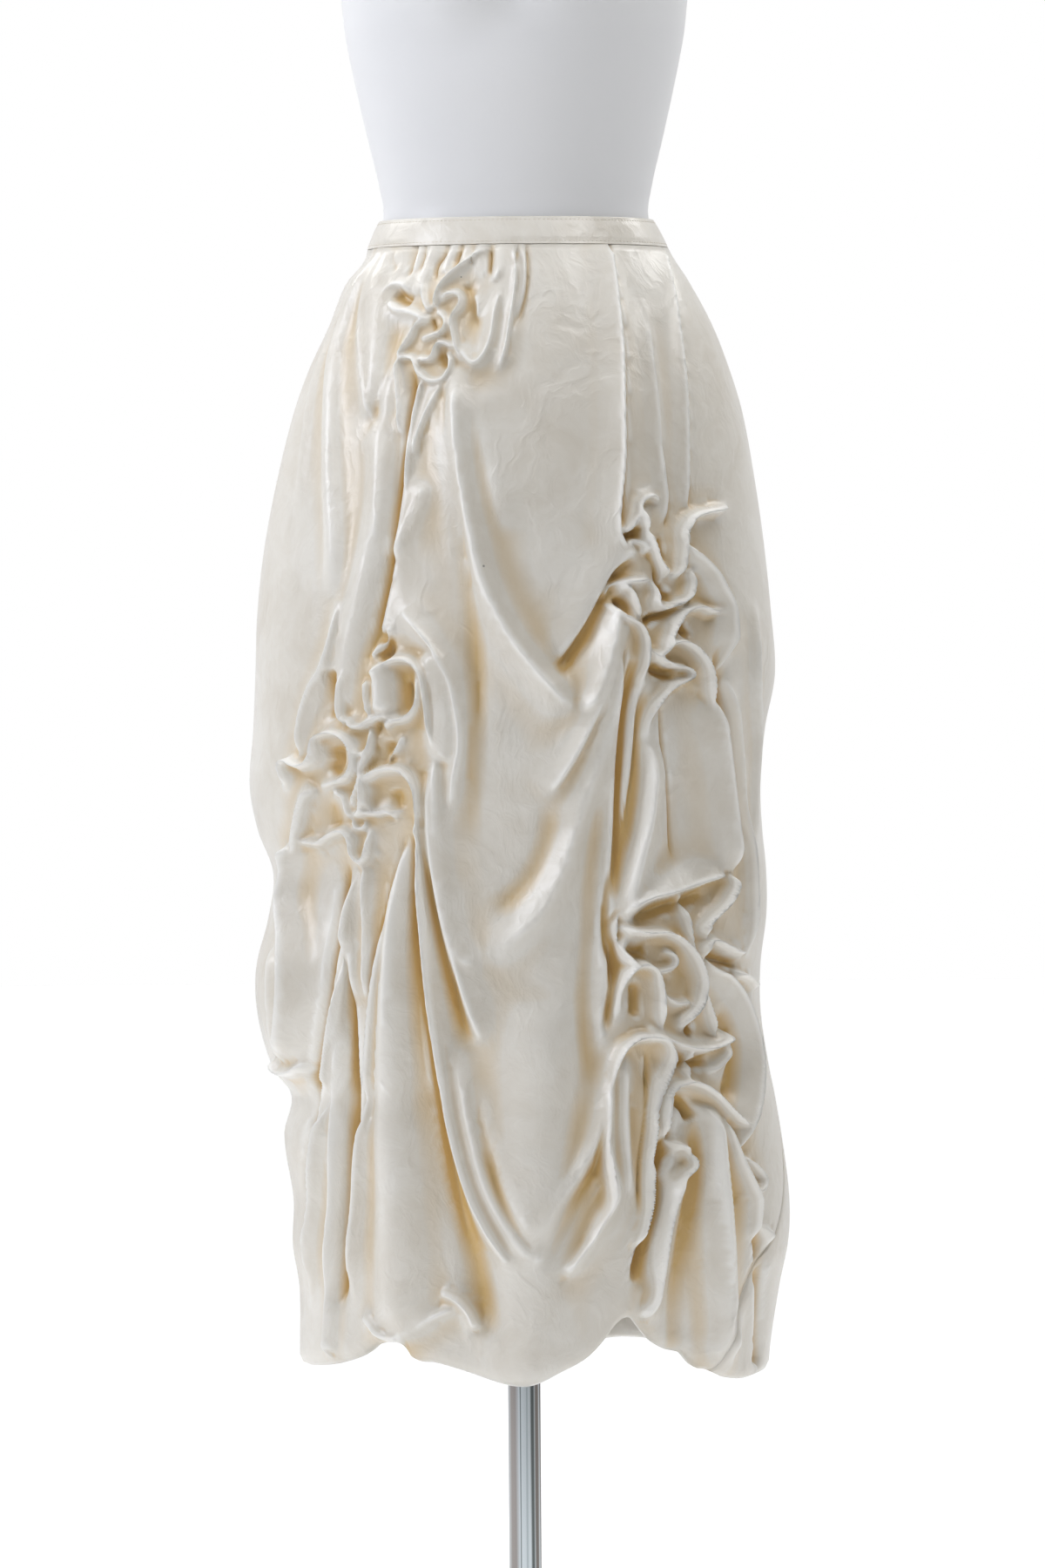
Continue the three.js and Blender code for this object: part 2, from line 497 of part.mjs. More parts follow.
// Grids of the wall's outer and inner faces between two seams.
function panelGrids(columns, rows, seamAt, seamTo) {
  const seamGap = THREE.MathUtils.radToDeg(GAP / 2 / SEAM_RADIUS);
  const grid = (inset) => {
    const lines = [];
    for (let row = 0; row <= rows + ROLL_STEPS + FLAP_STEPS; row += 1) {
      const line = [];
      for (let column = 0; column <= columns; column += 1) {
        const across = column / columns;
        const near = Math.min(row, rows) / rows;
        const level = BAND_HEIGHT + near * (SEAM_SWING_TO - BAND_HEIGHT);
        const from = seamAt(level) + seamGap;
        const to = seamTo(level) - seamGap;
        const angle = from + (to - from) * across;
        const station = wallStation(row, rows, hemDrop(angle), inset);
        const { outward, radius } = skirtRadius(angle, station.drop);
        const point = outward.clone().multiplyScalar(radius - station.inward);
        point.z = BAND_TOP - station.drop;
        line.push(point);
      }
      lines.push(line);
    }
    return lines;
  };
  return { outer: grid(0), inner: grid(WALL) };
}

// A closed wall from two grids of points that match one to one.
function wallBetween(outer, inner) {
  const rows = outer.length;
  const columns = outer[0].length;
  const positions = [];
  for (const line of [...outer, ...inner]) {
    for (const point of line) positions.push(point.x, point.y, point.z);
  }
  const at = (row, column, layer) => (layer * rows + row) * columns + column;
  const faces = [];
  const quad = (a, b, c, d) => faces.push(a, b, c, a, c, d);
  for (let r = 0; r < rows - 1; r += 1) {
    for (let c = 0; c < columns - 1; c += 1) {
      quad(at(r, c, 0), at(r + 1, c, 0), at(r + 1, c + 1, 0), at(r, c + 1, 0));
      quad(at(r, c, 1), at(r, c + 1, 1), at(r + 1, c + 1, 1), at(r + 1, c, 1));
    }
    quad(at(r, 0, 0), at(r, 0, 1), at(r + 1, 0, 1), at(r + 1, 0, 0));
    quad(at(r, columns - 1, 0), at(r + 1, columns - 1, 0), at(r + 1, columns - 1, 1), at(r, columns - 1, 1));
  }
  for (let c = 0; c < columns - 1; c += 1) {
    quad(at(0, c, 0), at(0, c + 1, 0), at(0, c + 1, 1), at(0, c, 1));
    quad(at(rows - 1, c, 0), at(rows - 1, c, 1), at(rows - 1, c + 1, 1), at(rows - 1, c + 1, 0));
  }
  return solid(positions, faces);
}

function solid(positions, faces) {
  const geometry = new THREE.BufferGeometry();
  geometry.setAttribute('position', new THREE.Float32BufferAttribute(positions, 3));
  geometry.setIndex(faces);
  return geometry;
}

// A closed body through rings of points, each ring running the same way round.
function bodyThroughRings(rings, closedOnItself) {
  const count = rings[0].length;
  const positions = rings.flat().flatMap((point) => [point.x, point.y, point.z]);
  const faces = [];
  const links = closedOnItself ? rings.length : rings.length - 1;
  for (let r = 0; r < links; r += 1) {
    for (let c = 0; c < count; c += 1) {
      const here = r * count;
      const next = ((r + 1) % rings.length) * count;
      const right = (c + 1) % count;
      faces.push(here + c, here + right, next + right, here + c, next + right, next + c);
    }
  }
  if (!closedOnItself) {
    for (let c = 1; c < count - 1; c += 1) {
      const top = (rings.length - 1) * count;
      faces.push(0, c + 1, c, top, top + c, top + c + 1);
    }
  }
  return solid(positions, faces);
}

const BAND_COLUMNS = 48;
function waistbandGeometry() {
  const top = { left: 105.5, right: 105.5, depth: 78.6 };
  const foot = SKIRT_SECTIONS[0];
  const footDepth = (foot.front + foot.back) / 2;
  const station = (level, inset) => Array.from({ length: BAND_COLUMNS }, (unused, c) => {
    const turn = (2 * Math.PI * c) / BAND_COLUMNS;
    const half = Math.sin(turn) > 0 ? 'right' : 'left';
    const width = top[half] + (foot[half] - top[half]) * level - inset;
    const depth = top.depth + (footDepth - top.depth) * level - inset;
    return new THREE.Vector3(width * Math.sin(turn), -depth * Math.cos(turn), BAND_TOP - BAND_HEIGHT * level);
  });
  return bodyThroughRings([
    station(1, 0), station(0.5, 0), station(0, 0),
    station(0, BAND_WALL), station(0.5, BAND_WALL), station(1, BAND_WALL),
  ], true);
}

function formGeometry() {
  const rings = FORM_SECTIONS.map((section) => Array.from({ length: FORM_COLUMNS }, (unused, c) => {
    const turn = (2 * Math.PI * c) / FORM_COLUMNS;
    const ahead = Math.cos(turn);
    const x = section.side * Math.sin(turn);
    const depth = ahead > 0 ? section.front : section.back;
    const away = Math.hypot(Math.abs(x) - BUST.across, section.drop - BUST.drop) / BUST.reach;
    const bust = ahead > 0 && away < 1 ? BUST.rise * (0.5 + 0.5 * Math.cos(Math.PI * away)) * ahead : 0;
    return new THREE.Vector3(x, -depth * ahead - bust, BAND_TOP - section.drop);
  }));
  return bodyThroughRings(rings, false);
}

// A turned piece about the pole's axis, from [radius, height] stations that start and end on the axis.
function turned(stations, segments) {
  const geometry = new THREE.LatheGeometry(stations.map(([r, z]) => new THREE.Vector2(r, z)), segments);
  return geometry.rotateX(Math.PI / 2);
}

const COLLAR_HEIGHT = 40;
function collarGeometry() {
  const top = BAND_TOP - FORM_BOTTOM - GAP;
  const plate = 4;
  return turned([
    [0, top - COLLAR_HEIGHT], [18, top - COLLAR_HEIGHT], [20, top - COLLAR_HEIGHT + 2], [20, top - plate - 4],
    [24, top - plate], [45, top - plate], [45, top], [0, top],
  ], 28);
}

function poleGeometry() {
  const bottom = BASE_HEIGHT + GAP;
  const top = BAND_TOP - FORM_BOTTOM - 2 * GAP - COLLAR_HEIGHT;
  return turned([[0, bottom], [POLE_RADIUS, bottom], [POLE_RADIUS, top], [0, top]], 28);
}

function baseGeometry() {
  const edge = 3;
  return turned([
    [0, 0], [BASE_RADIUS - edge, 0], [BASE_RADIUS, edge], [BASE_RADIUS, BASE_HEIGHT - edge],
    [BASE_RADIUS - edge, BASE_HEIGHT], [0, BASE_HEIGHT],
  ], 48);
}

function panelGeometry(columns, rows, seamAt, seamTo) {
  const { outer, inner } = panelGrids(columns, rows, seamAt, seamTo);
  return wallBetween(outer, inner);
}

const leftSeam = () => LEFT_SEAM;
const leftSeamFromBehind = () => LEFT_SEAM + 360;

const group = new THREE.Group();
function add(name, geometry, surface) {
  const mesh = new THREE.Mesh(geometry, new THREE.MeshStandardMaterial(surface));
  mesh.name = name;
  group.add(mesh);
}

add('waistband', waistbandGeometry(), IVORY);
add('front_panel', panelGeometry(FRONT_COLUMNS, PANEL_ROWS, leftSeam, rightSeam), IVORY);
add('back_panel', panelGeometry(BACK_COLUMNS, PANEL_ROWS, rightSeam, leftSeamFromBehind), IVORY);
add('dress_form', formGeometry(), WHITE_SATIN_LACQUER);
add('form_collar', collarGeometry(), CHROME);
add('stand_pole', poleGeometry(), CHROME);
add('stand_base', baseGeometry(), CHROME);

export default group;
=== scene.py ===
# A ruched satin balloon skirt on a limbless dress form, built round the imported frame.
import math
from collections import namedtuple

import bmesh
import bpy
import numpy as np
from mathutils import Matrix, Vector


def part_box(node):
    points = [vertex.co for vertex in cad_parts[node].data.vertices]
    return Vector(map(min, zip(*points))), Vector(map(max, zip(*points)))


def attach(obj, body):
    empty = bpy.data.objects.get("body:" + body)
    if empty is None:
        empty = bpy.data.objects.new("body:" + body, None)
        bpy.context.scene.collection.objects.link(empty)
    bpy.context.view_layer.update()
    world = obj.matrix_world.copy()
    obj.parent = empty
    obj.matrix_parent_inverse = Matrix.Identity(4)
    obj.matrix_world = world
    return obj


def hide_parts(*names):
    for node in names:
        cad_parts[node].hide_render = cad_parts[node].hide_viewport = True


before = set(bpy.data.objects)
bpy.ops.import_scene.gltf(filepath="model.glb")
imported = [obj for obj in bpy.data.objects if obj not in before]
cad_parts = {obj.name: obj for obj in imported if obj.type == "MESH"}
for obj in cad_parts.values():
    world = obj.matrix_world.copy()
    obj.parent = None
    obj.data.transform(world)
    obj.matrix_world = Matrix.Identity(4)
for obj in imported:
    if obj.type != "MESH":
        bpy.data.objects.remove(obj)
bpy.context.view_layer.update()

# ---------------------------------------------------------------- sizes, in millimetres
MM = 0.001
BAND_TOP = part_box("waistband")[1][2] / MM
BAND_HEIGHT = BAND_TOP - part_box("waistband")[0][2] / MM
GAP = 0.35                     # clear distance between neighbouring pieces
CLOTH = 1.1                    # thickness of the shown wall
HEM_ROLL = 7.5                 # outer radius of the turned-under hem
HEM_FLAP = 50                  # how far the hem returns up the inside
LEFT_SEAM = -92                # degrees round from the front
RIGHT_SEAM = 88
RIGHT_SEAM_AT_HEM = 50         # the right seam swings forward towards the hem
SEAM_SWING_FROM = 690          # drops between which it swings
SEAM_SWING_TO = 890
SEAM_RADIUS = 150
SIDE_CALM = 0.75               # share of a fold's rise taken off where it meets the outline
SIDE_CALM_WIDTH = 10           # degrees
EYE_DISTANCE = 6000            # the viewer in front, from the pole's axis
EYE_DROP = 443                 # the viewer's eye level, below the band's top
EYE_ASIDE = 2                  # and how far to the right of the axis
VIEW_HEIGHT = 1224             # what the viewer sees, at the pole's axis
VIEW_ROLL = 0.41               # degrees
FLOOR_SIZE = 40000

# A panel is worked out on a fine lattice. Its mesh has cells of 3 by 3 lattice steps, and the
# outer face keeps every step where the cloth is most creased.
CELL = 3
PANEL_COLUMNS = 124 * CELL
WALL_ROWS = 154 * CELL
ROLL_ROWS = 4 * CELL
FLAP_ROWS = 3 * CELL
FINE_CELLS = 6000

# Sections of the skirt: half-widths to the left and right, half-depths to the front and back.
Section = namedtuple("Section", "drop left right front back")
SKIRT_SECTIONS = [
    Section(22, 115, 117, 87, 88),
    Section(35, 119, 124, 93, 95),
    Section(52, 133, 135, 101, 103),
    Section(86, 147, 153, 114, 118),
    Section(120, 163, 166, 125, 130),
    Section(154, 175, 176, 134, 140),
    Section(205, 188, 185, 143, 150),
    Section(256, 198, 192, 148, 155),
    Section(307, 204, 197, 152, 158),
    Section(358, 206, 200, 155, 160),
    Section(400, 208, 192, 156, 159),
    Section(443, 211, 188, 154, 157),
    Section(477, 205, 189, 151, 156),
    Section(511, 193, 192, 150, 158),
    Section(545, 197, 192, 152, 160),
    Section(585, 207, 187, 155, 160),
    Section(622, 206, 187, 156, 158),
    Section(664, 194, 193, 153, 156),
    Section(684, 180, 197, 151, 155),
    Section(715, 186, 202, 150, 156),
    Section(766, 179, 208, 150, 157),
    Section(800, 180, 207, 148, 154),
    Section(834, 175, 200, 145, 150),
    Section(885, 175, 192, 141, 145),
    Section(920, 174, 190, 138, 142),
]

# The waistband.
BAND_DIP, BAND_TILT = 3.5, 2   # it hangs lower than the solid one, most at the front
BAND_SIDE, BAND_DEPTH = 105.5, 78.6    # half-width and half-depth of its top line
BAND_MEAN_RADIUS = 98
BAND_THICKNESS = 1.8
BAND_STRAIGHT = 1.35           # share of its section that is straight, against its rounded edges
BAND_SQUARENESS = 2.2          # how soon its section turns from one face to the other
BAND_SWELL, SWELL_INSET = 0.45, 3.0    # it swells between the stitches, this far from its edges
STITCH_INSET = 2.6
STITCH_PITCH, STITCH_LENGTH, STITCH_RADIUS = 3.2, 2.5, 0.22
STITCH_STANDS = 0.1            # how far a stitch's middle stands out from the band

# Lowest line of the hem, by distance across from the centre line.
HemPoint = namedtuple("HemPoint", "across drop")
FRONT_HEM = [
    HemPoint(-176, 894), HemPoint(-150, 889), HemPoint(-128, 881), HemPoint(-116, 872),
    HemPoint(-100, 870), HemPoint(-93, 873), HemPoint(-87, 883), HemPoint(-72, 885),
    HemPoint(-49, 891), HemPoint(-20, 900), HemPoint(0, 903), HemPoint(13, 900),
    HemPoint(26, 894), HemPoint(49, 883), HemPoint(60, 872), HemPoint(70, 858),
    HemPoint(82, 851), HemPoint(92, 861), HemPoint(100, 870), HemPoint(111, 876),
    HemPoint(126, 881), HemPoint(137, 892), HemPoint(145, 894), HemPoint(160, 901),
    HemPoint(178, 904), HemPoint(192, 901),
]
BACK_HEM = [
    HemPoint(-176, 894), HemPoint(-130, 884), HemPoint(-92, 877), HemPoint(-44, 891),
    HemPoint(0, 902), HemPoint(40, 892), HemPoint(80, 884), HemPoint(128, 888),
    HemPoint(192, 901),
]

# Folds of the front, group by group. rise: height of the crest, or depth of a hollow or crease.
# left, right: reach of each flank as the fold runs along its path. path: stations of
# (across, drop) on the upright plane through the pole, as they line up for the viewer in front.
# open: "s" or "e" where the start or end keeps its full height. grow: how much wider it is at
# its end.
Fold = namedtuple("Fold", "form rise left right path open grow", defaults=("", 1))
FRONT_FOLDS = {
    "waist gathers": [
        Fold("roll", 3, 9, 7, [(-91, 21), (-93, 34), (-92, 46)], "s"),
        Fold("roll", 2, 5, 5, [(-79, 21), (-81, 32), (-84, 42)], "s"),
        Fold("roll", 5, 8, 7, [(-67, 21), (-71, 34), (-75, 48), (-84, 62)], "s"),
        Fold("roll", 4, 6, 6, [(-50, 21), (-55, 33), (-59, 45)], "s"),
        Fold("roll", 4, 5, 5, [(-39, 21), (-42, 31), (-45, 40)], "s"),
        Fold("roll", 4, 7, 7, [(-28, 21), (-28, 34), (-28, 48)], "s"),
        Fold("roll", 6, 9, 9, [(-11, 21), (-12, 36), (-16, 52)], "s"),
        Fold("crease", 3, 3, 3, [(-98, 22), (-99, 33), (-97, 43)], "s"),
        Fold("crease", 5, 3, 3, [(-83, 22), (-85, 34), (-89, 47)], "s"),
        Fold("crease", 4, 3, 3, [(-76, 22), (-77, 32), (-80, 42)], "s"),
        Fold("crease", 6, 3, 3, [(-55, 22), (-60, 30), (-66, 39), (-67, 50)], "s"),
        Fold("crease", 6, 3, 3, [(-44, 22), (-48, 31), (-51, 41)], "s"),
        Fold("crease", 5, 3, 3, [(-34, 22), (-35, 30), (-37, 39)], "s"),
        Fold("crease", 6, 3, 3, [(-21, 22), (-21, 34), (-22, 46)], "s"),
        Fold("crease", 4, 3, 3, [(-2, 22), (1, 30), (-1, 38)], "s"),
        Fold("crease", 5, 3, 3, [(9, 22), (10, 42), (8, 62), (1, 84)], "s"),
        Fold("crest", 3, 8, 3, [(6, 21), (7, 42), (5, 60), (-1, 80)], "s"),
        Fold("crest", 9, 16, 3, [(-3, 21), (0, 36), (-1, 56), (-5, 82), (-9, 104), (-15, 122)], "s"),
    ],
    "upper left cluster": [
        Fold("hollow", 6, 10, 9, [(-98, 85), (-103, 110), (-112, 140), (-121, 172)]),
        Fold("roll", 9, 16, 26, [(-104, 22), (-113, 50), (-115, 85), (-113, 120), (-109, 160)], "s"),
        Fold("crest", 6, 10, 24, [(-108, 22), (-119, 45), (-126, 75), (-126, 108), (-121, 146),
            (-112, 182), (-110, 225), (-114, 262)], "s"),
        Fold("crest", 7, 8, 14, [(-108, 60), (-101, 53), (-93, 52), (-85, 57)]),
        Fold("crest", 10, 16, 7, [(-104, 64), (-96, 71), (-86, 73), (-76, 77), (-69, 82)]),
        Fold("hollow", 7, 8, 8, [(-99, 60), (-92, 65), (-86, 67)]),
        Fold("crest", 8, 5, 5, [(-74, 50), (-75, 60), (-72, 70), (-67, 73)]),
        Fold("crest", 11, 6, 10, [(-26, 23), (-38, 33), (-51, 43), (-60, 53), (-64, 63), (-66, 72)], "s"),
        Fold("crest", 13, 8, 6, [(-61, 67), (-56, 61), (-48, 59), (-44, 63), (-45, 70), (-50, 78),
            (-50, 88), (-47, 102), (-44, 116)]),
        Fold("crest", 11, 6, 6, [(-66, 73), (-59, 76), (-56, 82), (-59, 89), (-68, 93), (-79, 96)]),
        Fold("crest", 10, 8, 5, [(-70, 80), (-79, 84), (-84, 93), (-91, 103), (-96, 112)]),
        Fold("crest", 11, 6, 8, [(-94, 108), (-95, 118), (-94, 132), (-93, 150), (-95, 170)]),
        Fold("crest", 11, 5, 6, [(-96, 111), (-88, 109), (-82, 111), (-79, 119), (-77, 127)]),
        Fold("crest", 11, 6, 6, [(-81, 108), (-73, 111), (-67, 109), (-64, 101), (-60, 98), (-53, 100),
            (-47, 105)]),
        Fold("crest", 10, 6, 8, [(-78, 115), (-75, 124), (-68, 128), (-59, 126), (-53, 118), (-53, 110),
            (-58, 105)]),
        Fold("crest", 9, 20, 4, [(-58, 126), (-64, 138), (-72, 154), (-79, 172), (-83, 190)]),
        Fold("crest", 9, 3, 8, [(-77, 126), (-79, 140), (-83, 160), (-87, 185), (-91, 215)]),
        Fold("crest", 5, 6, 6, [(-34, 60), (-31, 68), (-31, 80)]),
        Fold("crest", 10, 10, 14, [(-46, 96), (-41, 108), (-34, 114), (-26, 107), (-20, 92), (-17, 72),
            (-10, 48)]),
        Fold("crest", 5, 7, 7, [(-20, 52), (-14, 42), (-8, 32)]),
        Fold("hollow", 5, 10, 10, [(-40, 52), (-38, 66), (-34, 90)]),
        Fold("hollow", 6, 7, 7, [(-64, 108), (-58, 112), (-60, 118)]),
        Fold("crease", 6, 3, 3, [(-69, 79), (-68, 84), (-66, 88)]),
    ],
    "long folds": [
        Fold("hollow", 4, 11, 11, [(-60, 122), (-54, 155), (-48, 195), (-42, 250), (-36, 310), (-34, 370),
            (-38, 430), (-40, 490)]),
        Fold("crease", 12, 3, 3, [(-82, 118), (-82, 140), (-86, 165), (-91, 195), (-96, 235), (-100, 262),
            (-106, 292), (-114, 325), (-121, 350)], grow=1.4),
        Fold("roll", 6, 24, 11, [(-108, 150), (-104, 185), (-107, 230), (-115, 270), (-125, 310),
            (-133, 350), (-137, 385)]),
        Fold("roll", 6, 14, 12, [(-104, 24), (-127, 60), (-141, 100), (-146, 150), (-146, 205),
            (-144, 255), (-147, 300)], "s"),
        Fold("roll", 3, 9, 9, [(-112, 26), (-140, 75), (-158, 120), (-167, 170), (-173, 230)], "s"),
        Fold("crest", 5, 24, 12, [(-70, 205), (-78, 225), (-88, 245), (-98, 268)]),
        Fold("crest", 13, 20, 15, [(-45, 112), (-47, 145), (-46, 180), (-42, 212), (-36, 245), (-27, 283),
            (-11, 320), (9, 350), (29, 374), (45, 390)], grow=1.3),
        Fold("crest", 4, 8, 30, [(-38, 128), (-30, 160), (-20, 205), (-10, 250)]),
        Fold("crest", 11, 14, 22, [(73, 303), (72, 322), (66, 348), (57, 374), (45, 390)]),
        Fold("hollow", 8, 12, 11, [(29, 357), (42, 339), (56, 318), (66, 300), (76, 282), (90, 266)]),
        Fold("crest", 7, 4, 26, [(28, 352), (40, 335), (52, 318), (64, 296), (73, 280), (84, 268),
            (94, 260)]),
    ],
    "left cluster": [
        Fold("crest", 9, 10, 12, [(-144, 295), (-147, 325), (-155, 350), (-164, 366), (-171, 386),
            (-174, 406), (-173, 425)]),
        Fold("hollow", 9, 10, 9, [(-151, 352), (-150, 372), (-150, 392)]),
        Fold("crest", 10, 7, 6, [(-139, 355), (-141, 372), (-141, 388), (-136, 396)]),
        Fold("crest", 14, 10, 9, [(-121, 358), (-111, 354), (-102, 348), (-92, 345), (-82, 348),
            (-75, 358), (-72, 375), (-70, 400), (-67, 425)]),
        Fold("crest", 11, 7, 7, [(-82, 352), (-79, 368), (-81, 382), (-89, 391), (-100, 394),
            (-109, 399)]),
        Fold("roll", 10, 22, 17, [(-74, 336), (-66, 352), (-61, 375), (-59, 400), (-60, 430)]),
        Fold("roll", 15, 16, 15, [(-108, 346), (-106, 368), (-106, 390)]),
        Fold("crest", 10, 3, 10, [(-137, 388), (-133, 397), (-125, 398), (-117, 393), (-104, 390),
            (-91, 389)]),
        Fold("crest", 9, 4, 8, [(-122, 360), (-121, 374), (-119, 390)]),
        Fold("crease", 7, 3, 3, [(-89, 360), (-88, 375), (-88, 388)]),
        Fold("crease", 5, 3, 3, [(-112, 392), (-115, 404), (-114, 418)]),
        Fold("crest", 7, 7, 7, [(-101, 318), (-110, 332), (-119, 344)]),
        Fold("hollow", 10, 12, 12, [(-112, 322), (-108, 336), (-112, 346)]),
        Fold("crest", 10, 18, 18, [(-100, 302), (-82, 318), (-66, 338), (-54, 362), (-48, 392),
            (-47, 415), (-52, 442), (-56, 475)]),
        Fold("crest", 4, 12, 10, [(-70, 402), (-64, 416), (-56, 424), (-48, 420)]),
        Fold("crest", 15, 8, 8, [(-192, 444), (-185, 440), (-184, 428), (-180, 423), (-171, 428),
            (-161, 424), (-158, 414), (-156, 406), (-147, 402), (-136, 405), (-128, 416), (-128, 430),
            (-136, 438), (-150, 442), (-162, 444)]),
        Fold("crest", 11, 6, 6, [(-119, 398), (-117, 410), (-121, 424), (-125, 440), (-129, 452),
            (-133, 462)]),
        Fold("crest", 10, 5, 6, [(-131, 414), (-124, 419), (-118, 414)]),
        Fold("crest", 14, 9, 8, [(-134, 468), (-124, 462), (-121, 450), (-121, 440), (-114, 434),
            (-103, 431), (-92, 432), (-83, 441), (-79, 456), (-80, 480)], "e"),
        Fold("crest", 9, 6, 8, [(-121, 440), (-120, 452), (-117, 463)]),
        Fold("crest", 9, 3, 14, [(-134, 468), (-122, 466), (-112, 466), (-103, 465), (-98, 470)]),
        Fold("crest", 7, 3, 4, [(-134, 469), (-130, 476), (-125, 477), (-121, 471)]),
        Fold("crest", 12, 18, 8, [(-163, 444), (-169, 456), (-174, 478), (-177, 500)]),
        Fold("crest", 8, 12, 8, [(-150, 446), (-139, 452), (-136, 462), (-133, 470)]),
        Fold("crest", 12, 9, 9, [(-178, 490), (-168, 487), (-157, 488), (-148, 482), (-138, 479),
            (-132, 485), (-130, 496), (-125, 503), (-120, 498), (-119, 486), (-119, 474)]),
        Fold("hollow", 7, 9, 9, [(-148, 412), (-147, 424), (-152, 434)]),
        Fold("hollow", 3, 10, 10, [(-154, 456), (-150, 468), (-148, 476)]),
        Fold("hollow", 4, 9, 8, [(-100, 446), (-98, 456), (-97, 463)]),
        Fold("hollow", 5, 8, 8, [(-104, 408), (-104, 420), (-106, 428)]),
        Fold("crest", 6, 5, 5, [(-92, 404), (-97, 414), (-105, 422), (-104, 430)]),
    ],
    "lower left": [
        Fold("crest", 14, 10, 16, [(-177, 496), (-178, 530), (-177, 565), (-178, 605), (-181, 640),
            (-186, 655)], "s"),
        Fold("roll", 7, 8, 14, [(-190, 560), (-194, 600), (-191, 640), (-183, 662)]),
        Fold("crest", 9, 3, 12, [(-194, 655), (-187, 668), (-176, 668), (-168, 661)]),
        Fold("crest", 10, 5, 13, [(-128, 505), (-133, 540), (-138, 578), (-144, 625), (-150, 670),
            (-156, 711), (-160, 740), (-166, 797), (-168, 850)]),
        Fold("hollow", 14, 9, 6, [(-138, 500), (-144, 540), (-150, 578), (-157, 625), (-164, 670),
            (-169, 711), (-172, 760)]),
        Fold("roll", 8, 10, 6, [(-130, 560), (-134, 600), (-138, 640), (-142, 690), (-145, 740),
            (-149, 800), (-151, 880)], "e", grow=1.3),
        Fold("crest", 7, 4, 9, [(-120, 496), (-121, 525), (-120, 555), (-121, 585), (-122, 610)]),
        Fold("hollow", 24, 9, 8, [(-137, 560), (-136, 610), (-135, 661), (-136, 710), (-139, 755),
            (-143, 805), (-146, 850)]),
        Fold("crease", 12, 3, 4, [(-90, 478), (-98, 512), (-107, 548), (-115, 585), (-120, 620),
            (-123, 660), (-127, 705), (-132, 755), (-137, 805), (-139, 840)]),
        Fold("roll", 26, 9, 9, [(-92, 490), (-96, 560), (-99, 630), (-98, 700), (-95, 770),
            (-93, 850)], "e", grow=4.2),
        Fold("crest", 7, 3, 15, [(-97, 512), (-110, 570), (-117, 610), (-122, 670), (-129, 740),
            (-134, 800), (-136, 850)]),
        Fold("crease", 18, 3, 4, [(-84, 465), (-83, 505), (-81, 550), (-77, 600), (-71, 650), (-64, 705),
            (-57, 750), (-48, 795), (-42, 835)], grow=2.0),
        Fold("crest", 11, 5, 9, [(-78, 478), (-77, 520), (-74, 562), (-70, 610), (-64, 660), (-57, 705),
            (-46, 750), (-32, 785), (-16, 812), (0, 834)], "s", grow=1.6),
        Fold("hollow", 11, 4, 4, [(-76, 600), (-70, 650), (-63, 705), (-54, 755), (-43, 800), (-33, 840),
            (-26, 875)], grow=5),
        Fold("crease", 6, 4, 5, [(-77, 462), (-75, 500), (-69, 535), (-61, 575), (-52, 612),
            (-42, 650)], grow=2.0),
        Fold("crest", 9, 5, 26, [(-68, 420), (-70, 460), (-67, 505), (-60, 545), (-51, 582), (-40, 620),
            (-30, 648)]),
        Fold("crest", 8, 8, 10, [(-66, 420), (-64, 455), (-62, 500), (-56, 540)]),
        Fold("crest", 8, 5, 12, [(-128, 858), (-118, 864), (-110, 873), (-98, 876), (-86, 870),
            (-66, 858), (-50, 850)]),
        Fold("crest", 9, 8, 6, [(-66, 838), (-52, 844), (-42, 856), (-37, 870)]),
    ],
    "middle": [
        Fold("crest", 9, 2.5, 26, [(22, 452), (33, 438), (44, 420), (53, 402), (63, 378), (70, 352),
            (77, 330)]),
        Fold("hollow", 2, 14, 9, [(15, 480), (30, 455), (45, 430), (57, 405), (68, 378)]),
        Fold("crest", 8, 26, 18, [(84, 330), (79, 352), (73, 382), (63, 415), (52, 447), (41, 480),
            (31, 512), (15, 542), (-8, 566), (-32, 586)]),
        Fold("crest", 8, 24, 20, [(-32, 588), (-48, 574), (-57, 545), (-60, 510)]),
        Fold("hollow", 5, 16, 16, [(28, 460), (20, 490), (5, 520), (-20, 545)]),
        Fold("hollow", 11, 10, 9, [(90, 345), (86, 380), (83, 430), (81, 480), (78, 530), (76, 580),
            (75, 625)]),
        Fold("hollow", 6, 18, 12, [(70, 450), (62, 500), (56, 560), (52, 620), (56, 680)]),
    ],
    "right cluster": [
        Fold("crest", 8, 22, 2.5, [(74, 22), (79, 60), (83, 100), (84, 150), (84, 190), (81, 220),
            (80, 244), (84, 255), (90, 258)], "s"),
        Fold("crease", 7, 2.5, 4, [(77, 22), (83, 60), (87, 100), (88, 150), (87, 190), (85, 222),
            (84, 244)], "s"),
        Fold("crest", 5, 12, 2.5, [(121, 30), (129, 75), (134, 120), (136, 160), (136, 200),
            (136, 232)], "s"),
        Fold("crease", 5, 2, 5, [(124, 30), (132, 75), (137, 120), (139, 160), (139, 200),
            (139, 230)], "s"),
        Fold("crest", 5, 9, 8, [(102, 60), (108, 110), (112, 150), (114, 180), (118, 212), (119, 240)]),
        Fold("crease", 5, 2.5, 4, [(115, 175), (119, 200), (122, 225), (120, 245)]),
        Fold("crest", 8, 4, 8, [(81, 247), (88, 245), (94, 236), (98, 224), (106, 219), (115, 224)]),
        Fold("hollow", 8, 8, 5, [(84, 250), (92, 249), (100, 243)]),
        Fold("crest", 13, 6, 8, [(98, 226), (99, 242), (104, 258), (111, 273), (119, 283)]),
